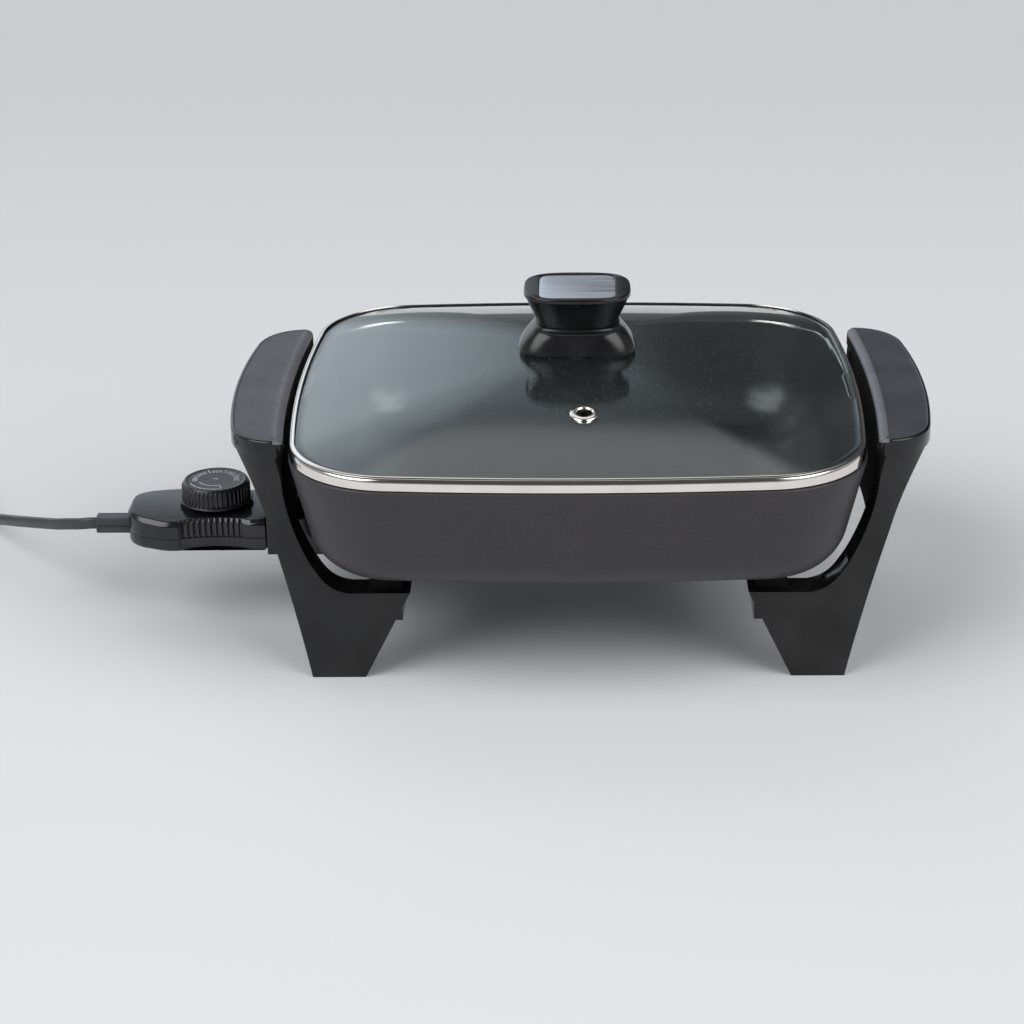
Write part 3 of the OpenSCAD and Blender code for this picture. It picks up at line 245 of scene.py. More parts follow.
class Mesher:
    """Collects rings and faces of one mesh."""

    def __init__(self, scale: float = 1.0) -> None:
        """Starts with nothing.

        Args:
            scale: What one unit of the points is in metres.
        """
        self.scale = scale
        self.points: list[Sequence[float]] = []
        self.faces: list[list[int]] = []
        self.slots: list[int] = []

    def ring(self, points: Sequence[Sequence[float]]) -> list[int]:
        """Adds points and returns their numbers."""
        start = len(self.points)
        self.points.extend(points)
        return list(range(start, start + len(points)))

    def face(self, corners: list[int], slot: int = 0) -> None:
        """Adds one face."""
        self.faces.append(corners)
        self.slots.append(int(slot))

    def bridge(self, low: list[int], high: list[int], slot: int = 0, closed: bool = True) -> None:
        """Joins two rings of equal length with quads.

        Args:
            low: Numbers of the first ring.
            high: Numbers of the second ring.
            slot: Material slot of the faces.
            closed: Whether the last point joins the first.
        """
        count = len(low)
        for i in range(count if closed else count - 1):
            j = (i + 1) % count
            self.face([low[i], low[j], high[j], high[i]], slot)

    def loft(self, rings: Sequence[Ring], slots: Callable[[int], int] = lambda k: 0,
             around: bool = False, caps: bool = True) -> list[list[int]]:
        """Joins rings, first to last.

        Args:
            rings: The rings.
            slots: Material slot of the strip after ring k.
            around: Whether the last ring joins the first.
            caps: Whether the two ends are closed.

        Returns:
            The numbers of each ring.
        """
        made = [self.ring(r) for r in rings]
        for k in range(len(made) - 1):
            self.bridge(made[k], made[k + 1], slots(k))
        if around:
            self.bridge(made[-1], made[0], slots(len(made) - 1))
        elif caps:
            self.face(made[0][::-1], slots(0))
            self.face(made[-1], slots(len(made) - 2))
        return made

    def build(self, name: str, outward: bool = True) -> bpy.types.Object:
        """Makes the object.

        Args:
            name: Name of the object and its mesh.
            outward: Whether the closed shell's normals are worked out again.

        Returns:
            The object, linked to the scene.
        """
        mesh = bpy.data.meshes.new(name)
        mesh.from_pydata([tuple(v * self.scale for v in p) for p in self.points], [], self.faces)
        mesh.polygons.foreach_set("material_index", self.slots)
        made = linked(name, mesh)
        if outward:
            clean(made)
        return made


def clean(piece: bpy.types.Object, merge: float = 1e-7) -> None:
    """Merges doubles and turns the normals of a closed shell outwards."""
    shell = bmesh.new()
    shell.from_mesh(piece.data)
    bmesh.ops.remove_doubles(shell, verts=shell.verts, dist=merge)
    bmesh.ops.recalc_face_normals(shell, faces=shell.faces)
    shell.to_mesh(piece.data)
    shell.free()


def flatten(piece: bpy.types.Object) -> bpy.types.Object:
    """Turns a piece with its modifiers into a plain mesh at the origin."""
    graph = bpy.context.evaluated_depsgraph_get()
    mesh = bpy.data.meshes.new_from_object(piece.evaluated_get(graph))
    mesh.transform(piece.matrix_world)
    mesh.name = piece.name
    plain = linked(piece.name + ".mesh", mesh)
    name = piece.name
    bpy.data.objects.remove(piece)
    plain.name = name
    return plain


def boolean(piece: bpy.types.Object, tools: Sequence[bpy.types.Object],
            operation: str) -> bpy.types.Object:
    """Joins, cuts or keeps what is common, and removes the tools.

    Args:
        piece: The closed mesh to work on.
        tools: Closed meshes.
        operation: UNION, DIFFERENCE or INTERSECT.

    Returns:
        The result as a plain mesh.
    """
    for tool in tools:
        step = piece.modifiers.new("boolean", "BOOLEAN")
        step.operation = operation
        step.solver = "MANIFOLD"
        step.object = tool
    piece = flatten(piece)
    for tool in tools:
        bpy.data.objects.remove(tool)
    return piece


def bevel(piece: bpy.types.Object, width: float, segments: int = 2,
          angle: float = math.radians(35)) -> bpy.types.Object:
    """Rounds the sharp edges of a piece."""
    step = piece.modifiers.new("bevel", "BEVEL")
    step.width = width
    step.segments = segments
    step.limit_method = "ANGLE"
    step.angle_limit = angle
    step.miter_outer = "MITER_ARC"
    step.use_clamp_overlap = True
    return flatten(piece)


def lathe(name: str, profile: Plan, centre: Sequence[float] = (0, 0, 0), steps: int = 64,
          slots: Callable[[int], int] = lambda k: 0,
          ripple: Callable[[float], float] | None = None) -> bpy.types.Object:
    """Turns a closed profile of radius and height round an upright axis.

    Args:
        name: Name of the object.
        profile: Points of radius and height. A radius of 0 closes on the axis.
        centre: Where the axis stands.
        steps: Points once round.
        slots: Material slot of the strip after profile point k.
        ripple: Share by which a radius changes at an angle, or None.

    Returns:
        The object.
    """
    mesh = Mesher()
    rings = []
    for radius, height in profile:
        ring = []
        for i in range(steps):
            a = math.tau * i / steps
            r = radius * (ripple(a) if ripple else 1)
            ring.append((centre[0] + r * math.cos(a), centre[1] + r * math.sin(a),
                         centre[2] + height))
        rings.append(ring)
    open_ends = profile[0][0] == 0 and profile[-1][0] == 0
    mesh.loft(rings, slots, around=not open_ends, caps=False)
    return mesh.build(name)


def cylinder(name: str, centre: Sequence[float], radius: float, low: float, high: float,
             steps: int = 48) -> bpy.types.Object:
    """Returns an upright cylinder, used to cut or to join."""
    return lathe(name, [(0, low), (radius, low), (radius, high), (0, high)],
                 (centre[0], centre[1], 0), steps)


def bore_along_x(start: Sequence[float], radius: float, length: float,
                 steps: int = 32) -> bpy.types.Object:
    """Returns a cylinder that runs along +X from a point, used to cut."""
    made = cylinder("bore", (0, 0), radius, 0, length, steps)
    made.data.transform(Matrix.Translation(start) @ Matrix.Rotation(math.pi / 2, 4, "Y"))
    return made


def rod(x: float, y: float, radius: float, low: float, high: float,
        steps: int = 48) -> bpy.types.Object:
    """Returns an upright cylinder from sizes in millimetres, used to cut or to join."""
    return cylinder("rod", mm(x, y), *mm(radius, low, high), steps)


def block(name: str, low: Sequence[float], high: Sequence[float]) -> bpy.types.Object:
    """Returns a box between two corners, used to cut or to join."""
    mesh = Mesher()
    mesh.loft([[(low[0], low[1], z), (high[0], low[1], z), (high[0], high[1], z),
                (low[0], high[1], z)] for z in (low[2], high[2])])
    return mesh.build(name)


def join(name: str, pieces: Sequence[tuple[bpy.types.Object, int]]) -> bpy.types.Object:
    """Puts several meshes into one.

    Args:
        name: Name of the result.
        pieces: Each mesh with the material slot of its faces, or -1 to keep its own.

    Returns:
        The one mesh.
    """
    shell = bmesh.new()
    for piece, slot in pieces:
        first = len(shell.faces)
        shell.from_mesh(piece.data)
        shell.faces.ensure_lookup_table()
        if slot >= 0:
            for face in shell.faces[first:]:
                face.material_index = slot
        bpy.data.objects.remove(piece)
    mesh = bpy.data.meshes.new(name)
    shell.to_mesh(mesh)
    shell.free()
    return linked(name, mesh)


def paint(piece: bpy.types.Object, finishes: Sequence[bpy.types.Material]) -> None:
    """Gives a mesh its materials and keeps each face's slot."""
    slots = [0] * len(piece.data.polygons)
    piece.data.polygons.foreach_get("material_index", slots)
    piece.data.materials.clear()
    for finish in finishes:
        piece.data.materials.append(finish)
    piece.data.polygons.foreach_set("material_index", slots)


def dress(piece: bpy.types.Object, body: Body,
          finishes: Sequence[bpy.types.Material], replaces: Sequence[str] = (),
          smooth: float = SMOOTH_ANGLE) -> bpy.types.Object:
    """Gives a piece its materials and shading, and hands it to the frame.

    Args:
        piece: The finished mesh.
        body: The body that it moves with.
        finishes: One material for each of the mesh's slots.
        replaces: Frame nodes that the piece stands for.
        smooth: Edges sharper than this angle stay sharp.

    Returns:
        The piece.
    """
    paint(piece, finishes)
    piece.data.shade_smooth()
    piece.data.set_sharp_from_angle(angle=smooth)
    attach(piece, body.value)
    if replaces:
        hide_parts(*replaces)
    log.info("%s: %d faces on %s", piece.name, len(piece.data.polygons), body.value)
    return piece


# ---- Nodes ---------------------------------------------------------------------------


def add_node(tree: bpy.types.NodeTree, kind: str, values: dict[str | int, object] | None = None,
             **settings: object) -> bpy.types.Node:
    """Adds a node to a tree.

    Args:
        tree: The tree.
        kind: The node's type.
        values: Sockets to link or values to set, by input name or place.
        settings: Properties of the node.

    Returns:
        The node.
    """
    made = tree.nodes.new(kind)
    for label, value in settings.items():
        setattr(made, label, value)
    for place, value in (values or {}).items():
        if isinstance(value, bpy.types.NodeSocket):
            tree.links.new(value, made.inputs[place])
        else:
            made.inputs[place].default_value = value
    return made


class Recipe:
    """A Geometry Nodes tree with named inputs, applied to a carrier object."""

    def __init__(self, name: str, inputs: dict[str, tuple[str, object]]) -> None:
        """Makes the tree's sockets.

        Args:
            name: Name of the tree.
            inputs: For each input, its socket type and its default value.
        """
        self.tree = bpy.data.node_groups.new(name, "GeometryNodeTree")
        face = self.tree.interface
        face.new_socket("Geometry", in_out="INPUT", socket_type="NodeSocketGeometry")
        self.identifiers = {}
        for label, (kind, value) in inputs.items():
            socket = face.new_socket(label, in_out="INPUT", socket_type=kind)
            if value is not None:
                socket.default_value = value
            self.identifiers[label] = socket.identifier
        face.new_socket("Geometry", in_out="OUTPUT", socket_type="NodeSocketGeometry")
        self.start = self.tree.nodes.new("NodeGroupInput")

    def input(self, label: str) -> bpy.types.NodeSocket:
        """Returns the socket that carries a named input."""
        return self.start.outputs[label]

    def node(self, kind: str, values: dict[str | int, object] | None = None,
             **settings: object) -> bpy.types.Node:
        """Adds a node, as add_node does."""
        return add_node(self.tree, kind, values, **settings)

    def math(self, operation: str, first: object, second: object = 0.0) -> bpy.types.NodeSocket:
        """Returns the result of one sum on two values or sockets."""
        return self.node("ShaderNodeMath", {0: first, 1: second}, operation=operation).outputs[0]

    def finish(self, geometry: bpy.types.NodeSocket) -> None:
        """Ends the tree in Realize Instances and Set Material."""
        real = self.node("GeometryNodeRealizeInstances", {"Geometry": geometry})
        paint = self.node("GeometryNodeSetMaterial", {"Geometry": real.outputs[0],
                                                      "Material": self.input("Material")})
        end = self.tree.nodes.new("NodeGroupOutput")
        self.tree.links.new(paint.outputs[0], end.inputs["Geometry"])

    def bake(self, carrier: bpy.types.Object, values: dict[str, object]) -> bpy.types.Object:
        """Runs the tree on a carrier and returns the result as a plain mesh.

        Args:
            carrier: The object that holds the points or the mesh to work on.
            values: Named inputs.

        Returns:
            The new piece, which keeps the carrier's name.
        """
        step = carrier.modifiers.new(self.tree.name, "NODES")
        step.node_group = self.tree
        for label, value in values.items():
            step[self.identifiers[label]] = value
        carrier.update_tag()
        bpy.context.view_layer.update()
        return flatten(carrier)


def carrier_mesh(name: str, places: Sequence[Sequence[float]],
                 edges: Sequence[tuple[int, int]] = ()) -> bpy.types.Object:
    """Returns a mesh of points, with edges where given, for a recipe to work on."""
    mesh = bpy.data.meshes.new(name)
    mesh.from_pydata([tuple(p) for p in places], edges, [])
    return linked(name, mesh)


# ---- Finishes ------------------------------------------------------------------------


class Shader:
    """One procedural material, with short calls that add its nodes."""

    def __init__(self, name: str) -> None:
        """Makes the material with a Principled shader.

        Args:
            name: Name of the material.
        """
        self.material = bpy.data.materials.new(name)
        self.material.use_nodes = True
        self.tree = self.material.node_tree
        self.tree.nodes.clear()
        self.output = self.tree.nodes.new("ShaderNodeOutputMaterial")
        self.surface = self.tree.nodes.new("ShaderNodeBsdfPrincipled")
        self.tree.links.new(self.surface.outputs["BSDF"], self.output.inputs["Surface"])
        self.place = self.tree.nodes.new("ShaderNodeTexCoord").outputs["Object"]

    def node(self, kind: str, values: dict[str | int, object] | None = None,
             **settings: object) -> bpy.types.Node:
        """Adds a node, as add_node does."""
        return add_node(self.tree, kind, values, **settings)

    def set(self, **values: object) -> None:
        """Sets or links inputs of the Principled shader, with _ for a space."""
        for label, value in values.items():
            socket = self.surface.inputs[label.replace("_", " ")]
            if isinstance(value, bpy.types.NodeSocket):
                self.tree.links.new(value, socket)
            else:
                socket.default_value = value

    def noise(self, scale: float, detail: float = 2.0,
              stretch: Sequence[float] | None = None) -> bpy.types.NodeSocket:
        """Returns a grey noise on Object coordinates.

        Args:
            scale: Bumps per metre, about.
            detail: Octaves.
            stretch: Scale of each axis, for grain.
        """
        place = self.place
        if stretch:
            place = self.node("ShaderNodeMapping", {"Vector": place, "Scale": stretch}).outputs[0]
        return self.node("ShaderNodeTexNoise", {"Vector": place, "Scale": scale,
                                                "Detail": detail}).outputs["Fac"]

    def ramp(self, value: bpy.types.NodeSocket,
             stops: Sequence[tuple[float, Sequence[float]]]) -> bpy.types.NodeSocket:
        """Returns colours looked up by a value.

        Args:
            value: The value from 0 to 1.
            stops: Places with a colour of three numbers.
        """
        made = self.node("ShaderNodeValToRGB", {"Fac": value})
        elements = made.color_ramp.elements
        while len(elements) < len(stops):
            elements.new(0.5)
        for element, (place, colour) in zip(elements, stops):
            element.position = place
            element.color = (*colour, 1)
        return made.outputs["Color"]

    def span(self, value: bpy.types.NodeSocket, low: float, high: float,
             start: float = 0.0, end: float = 1.0) -> bpy.types.NodeSocket:
        """Returns a value moved from one span to another."""
        return self.node("ShaderNodeMapRange", {"Value": value, "From Min": start, "From Max": end,
                                                "To Min": low, "To Max": high}).outputs["Result"]

    def bump(self, height: bpy.types.NodeSocket, distance: float,
             strength: float = 1.0) -> None:
        """Adds relief to the surface, on top of any relief that it has."""
        values = {"Height": height, "Distance": distance, "Strength": strength}
        old = self.surface.inputs["Normal"].links
        if old:
            values["Normal"] = old[0].from_socket
        self.set(Normal=self.node("ShaderNodeBump", values).outputs["Normal"])


def grey(level: float) -> Colour:
    """Returns a neutral colour."""
    return (level, level, level)


def between(low: Colour, high: Colour, share: float) -> Colour:
    """Returns a colour between two others."""
    return tuple(a + (b - a) * share for a, b in zip(low, high))


@dataclass(frozen=True)
class Moulded:
    """Moulded plastic: faint mottling, a fine grain and its gloss."""

    name: str
    colour: Colour
    roughness: float
    grain: float = 0.0
    grain_scale: float = 2600.0
    mottle: float = 0.12
    level: float = 0.5

    def material(self) -> bpy.types.Material:
        """Returns the finished material."""
        shader = Shader(self.name)
        cloud = shader.noise(38, 3)
        light = between(self.colour, (1, 1, 1), 0.012)
        dark = tuple(c * (1 - self.mottle) for c in self.colour)
        shader.set(Base_Color=shader.ramp(cloud, [(0.3, dark), (0.7, light)]))
        wear = shader.noise(420, 4)
        shader.set(Roughness=shader.span(wear, self.roughness * 0.88, self.roughness * 1.14,
                                         0.25, 0.75))
        shader.set(Specular_IOR_Level=self.level)
        shader.bump(shader.noise(160, 2), 0.00004, 0.25)
        if self.grain:
            shader.bump(shader.noise(self.grain_scale, 3), self.grain, 0.6)
        return shader.material


@dataclass(frozen=True)
class Nonstick:
    """Speckled nonstick coating with a soft sparkle."""

    name: str
    colour: Colour
    fleck: Colour
    fleck_share: float
    roughness: float
    coat: float

    def material(self) -> bpy.types.Material:
        """Returns the finished material."""
        shader = Shader(self.name)
        fine = shader.noise(2100, 2)
        coarse = shader.noise(46, 4)
        dark = tuple(c * 0.72 for c in self.colour)
        ground = shader.ramp(fine, [(0.34, dark), (0.6, self.colour),
                                    (0.74, between(self.colour, self.fleck, 0.45))])
        cells = shader.node("ShaderNodeTexVoronoi", {"Vector": shader.place, "Scale": 1150.0})
        near = shader.ramp(cells.outputs["Distance"], [(0.16, grey(1)), (0.3, grey(0))])
        pick = shader.ramp(cells.outputs["Color"], [(1 - self.fleck_share, grey(0)),
                                                    (1 - self.fleck_share * 0.6, grey(1))])
        spots = shader.node("ShaderNodeMix", {0: 1.0, 6: near, 7: pick}, data_type="RGBA",
                            blend_type="MULTIPLY").outputs[2]
        flecked = shader.node("ShaderNodeMix", {0: spots, 6: ground, 7: (*self.fleck, 1)},
                              data_type="RGBA").outputs[2]
        clouded = shader.node("ShaderNodeMix", {0: 0.35, 6: flecked, 7: shader.ramp(
            coarse, [(0.3, grey(0.72)), (0.7, grey(1))])}, data_type="RGBA",
            blend_type="MULTIPLY").outputs[2]
        shader.set(Base_Color=clouded, Coat_Weight=self.coat, Coat_Roughness=0.2)
        shader.set(Roughness=shader.span(fine, self.roughness * 0.8, self.roughness * 1.2,
                                         0.3, 0.7))
        shader.set(Metallic=shader.span(spots, 0.0, 0.55))
        shader.bump(fine, 0.00006, 0.5)
        shader.bump(shader.noise(420, 2), 0.00008, 0.3)
        return shader.material


@dataclass(frozen=True)
class Steel:
    """Polished, brushed or dulled metal."""

    name: str
    colour: Colour
    roughness: float
    grain: tuple[float, float, float] | None = None
    grain_depth: float = 0.0
    tarnish: Colour | None = None

    def material(self) -> bpy.types.Material:
        """Returns the finished material."""
        shader = Shader(self.name)
        cloud = shader.noise(60, 3)
        low = self.tarnish or tuple(c * 0.93 for c in self.colour)
        wear = shader.noise(900 if self.grain is None else 300, 3, self.grain)
        shader.set(Metallic=1.0, Base_Color=shader.ramp(
            wear if self.grain else cloud, [(0.32, low), (0.62, self.colour)]))
        shader.set(Roughness=shader.span(wear, self.roughness * 0.75, self.roughness * 1.3,
                                         0.3, 0.7))
        if self.grain:
            shader.bump(wear, self.grain_depth, 0.7)
        else:
            shader.bump(shader.noise(240, 2), 0.00002, 0.12)
        return shader.material


@dataclass(frozen=True)
class Glass:
    """Clear tempered glass with a green tint through its thickness."""

    name: str = "tempered_glass"
    tint: Colour = (0.62, 0.9, 0.88)
    depth: float = 45.0

    def material(self) -> bpy.types.Material:
        """Returns the finished material."""
        shader = Shader(self.name)
        shader.set(Base_Color=(1, 1, 1, 1), Roughness=0.0, IOR=1.52, Transmission_Weight=1.0,
                   Specular_IOR_Level=0.5)
        haze = shader.noise(9, 3)
        shader.set(Roughness=shader.span(haze, 0.0, 0.012, 0.35, 0.75))
        soak = shader.node("ShaderNodeVolumeAbsorption", {"Color": (*self.tint, 1),
                                                          "Density": self.depth})
        shader.tree.links.new(soak.outputs[0], shader.output.inputs["Volume"])
        return shader.material


class Finishes:
    """Every material of the object, made once."""

    def __init__(self) -> None:
        """Builds the materials."""
        black = srgb(11, 11, 13)
        self.coat_outside = Nonstick("nonstick_outside", srgb(44, 41, 44), srgb(104, 100, 106),
                                     0.06, 0.5, 0.08).material()
        self.coat_inside = Nonstick("nonstick_inside", srgb(50, 52, 54), srgb(205, 210, 212),
                                    0.17, 0.34, 0.6).material()
        self.satin = Moulded("satin_phenolic", srgb(60, 60, 65), 0.4, 0.00003, 1800).material()
        self.gloss = Moulded("gloss_phenolic", black, 0.13, level=0.4).material()
        self.matt = Moulded("matt_phenolic", black, 0.75, level=0.08).material()
        # Lighter grey phenolic: a painted highlight on the grips' inner bevel.
        self.painted_highlight = Moulded("worn_phenolic", srgb(92, 92, 98), 0.42, 0.00003, 1800).material()
        self.leg = Moulded("leg_phenolic", srgb(12, 12, 14), 0.16, 0.000004).material()
        self.housing = Moulded("control_plastic", srgb(18, 18, 22), 0.13).material()
        self.dial = Moulded("dial_plastic", srgb(26, 26, 31), 0.28, 0.00001).material()
        self.glass = Glass().material()
        self.band = Steel("polished_stainless", srgb(240, 233, 226), 0.07).material()
        # Inner faces of the band: the same steel, darkened and tinted teal as painted shade under
        # the glass.
        self.skirt = Steel("satin_stainless", srgb(84, 92, 90), 0.5).material()
        self.insert = Steel("brushed_insert", srgb(238, 242, 248), 0.42, (0.06, 4, 4),
                            0.00002, srgb(206, 211, 220)).material()
        self.zinc = Steel("zinc_steel", srgb(186, 188, 190), 0.3).material()
        self.nickel = Steel("nickel_steel", srgb(206, 203, 196), 0.16).material()
        self.brass = Steel("terminal_brass", srgb(208, 170, 92), 0.22).material()
        self.bronze = Steel("contact_bronze", srgb(186, 142, 92), 0.3).material()
        self.sheath = Steel("element_sheath", srgb(120, 114, 106), 0.42,
                            tarnish=srgb(82, 76, 72)).material()
        self.ceramic = Moulded("ceramic", srgb(228, 221, 205), 0.5, 0.00002, 900, 0.05).material()
        self.insulator = Moulded("moulded_insulator", srgb(74, 57, 46), 0.45, 0.00002).material()
        self.silicone = Moulded("silicone_gasket", srgb(34, 34, 35), 0.6, 0.00002).material()
        self.sleeving = Moulded("lead_sleeving", srgb(226, 222, 212), 0.7, 0.00008,
                                900, 0.08).material()
        self.vinyl = Moulded("cord_vinyl", srgb(44, 45, 50), 0.36, 0.00001, 700).material()
        self.tie = Moulded("tie_rubber", srgb(20, 20, 20), 0.55, 0.00002).material()
        self.print = Moulded("white_print", srgb(206, 210, 218), 0.5, 0.0, 900, 0.04).material()


# ---- Camera, light and floor ---------------------------------------------------------


@dataclass(frozen=True)
class Glow:
    """A soft-edged patch of light in the room."""

    azimuth: float
    elevation: float
    full: float
    fade: float
    strength: float
    tint: Colour = (0.985, 0.99, 1.0)

    def aim(self) -> Vector:
        """Returns the way to the patch. Azimuth 0 is behind the camera, 90 is to the right."""
        across, up = math.radians(self.azimuth), math.radians(self.elevation)
        return Vector((math.sin(across) * math.cos(up), -math.cos(across) * math.cos(up),
                       math.sin(up)))


@dataclass
class Studio:
    """Camera, the light of the room and the pale floor."""

    camera_place: tuple[float, float, float] = (0.0, -1.387, 0.649)
    camera_tilt: float = math.radians(67)
    camera_roll: float = math.radians(-0.2)
    focal_px: float = 2573.0
    centre_px: float = 578.0
    image_px: float = 1024.0
    sensor: float = 36.0
    floor_size: float = 14.0
    floor_span: tuple[float, float] = (-0.45, 1.3)
    # Near and far floor colours: the darker far one is painted shade for the light's falloff.
    floor_shade_tones: tuple[Colour, Colour] = (srgb(220, 220, 221), srgb(194, 194, 196))
    darkest: float = 0.02
    ambient: Colour = (0.33, 0.332, 0.336)
    glows: tuple[Glow, ...] = (
        Glow(-55, 40, 12, 33, 3.9),
        Glow(55, 40, 12, 33, 3.5),
        Glow(0, 34, 14, 40, -0.26, (1, 1, 1)),
        Glow(0, 88, 20, 40, -0.24, (1, 1, 1)),
        Glow(180, 60, 6, 20, 0.8),
        Glow(-148, 24, 10, 38, 0.8, (0.86, 0.97, 1.08)),
        Glow(158, 28, 20, 48, -0.27, (1, 1, 1)),
    )

    def camera(self) -> None:
        """Places the camera."""
        data = bpy.data.cameras.new("camera")
        data.sensor_width = self.sensor
        data.lens = self.focal_px / self.image_px * self.sensor
        data.shift_x = -(self.centre_px - self.image_px / 2) / self.image_px
        data.clip_end = 50
        made = linked("camera", data)
        made.location = self.camera_place
        turn = Euler((self.camera_tilt, 0, 0)).to_matrix()
        made.rotation_euler = (turn @ Matrix.Rotation(self.camera_roll, 3, "Z")).to_euler()
        bpy.context.scene.camera = made
        log.info("camera placed")

    def floor(self) -> None:
        """Lays the pale floor, with painted shade that makes it a little darker towards the back.
        """
        half = self.floor_size / 2
        mesh = Mesher()
        mesh.face(mesh.ring([(-half, -half, 0), (half, -half, 0), (half, half, 0),
                             (-half, half, 0)]))
        made = mesh.build("floor", outward=False)
        shader = Shader("floor")
        depth = shader.node("ShaderNodeSeparateXYZ", {0: shader.place}).outputs["Y"]
        share = shader.span(depth, 0.0, 1.0, *self.floor_span)
        near, far = self.floor_shade_tones
        shader.set(Base_Color=shader.ramp(share, [(0.0, near), (1.0, far)]),
                   Roughness=0.9, Specular_IOR_Level=0.1)
        made.data.materials.append(shader.material)

    def room(self) -> None:
        """Lights the room with soft patches on an even ground."""
        world = bpy.data.worlds.new("room")
        bpy.context.scene.world = world
        world.use_nodes = True
        tree = world.node_tree
        tree.nodes.clear()

        def node(kind: str, *values: object, **settings: object) -> bpy.types.NodeSocket:
            """Adds a node and returns its first output."""
            return add_node(tree, kind, dict(enumerate(values)), **settings).outputs[0]

        way = node("ShaderNodeTexCoord")
        total = self.ambient
        for glow in self.glows:
            dot = add_node(tree, "ShaderNodeVectorMath", {0: way, 1: glow.aim()},
                           operation="DOT_PRODUCT")
            span = node("ShaderNodeMapRange", dot.outputs["Value"],
                        math.cos(math.radians(glow.fade)), math.cos(math.radians(glow.full)),
                        0.0, 1.0, interpolation_type="SMOOTHERSTEP")
            colour = tuple(c * glow.strength for c in glow.tint)
            total = node("ShaderNodeVectorMath", span, colour, total, operation="MULTIPLY_ADD")
        total = node("ShaderNodeVectorMath", total, grey(self.darkest), operation="MAXIMUM")
        back = node("ShaderNodeBackground", total)
        end = tree.nodes.new("ShaderNodeOutputWorld")
        tree.links.new(back, end.inputs["Surface"])

    def build(self) -> None:
        """Sets up the view settings, the room and the floor."""
        bpy.context.scene.view_settings.view_transform = "Standard"
        self.room()
        self.floor()
        log.info("studio set up")


# ---- Cord ----------------------------------------------------------------------------


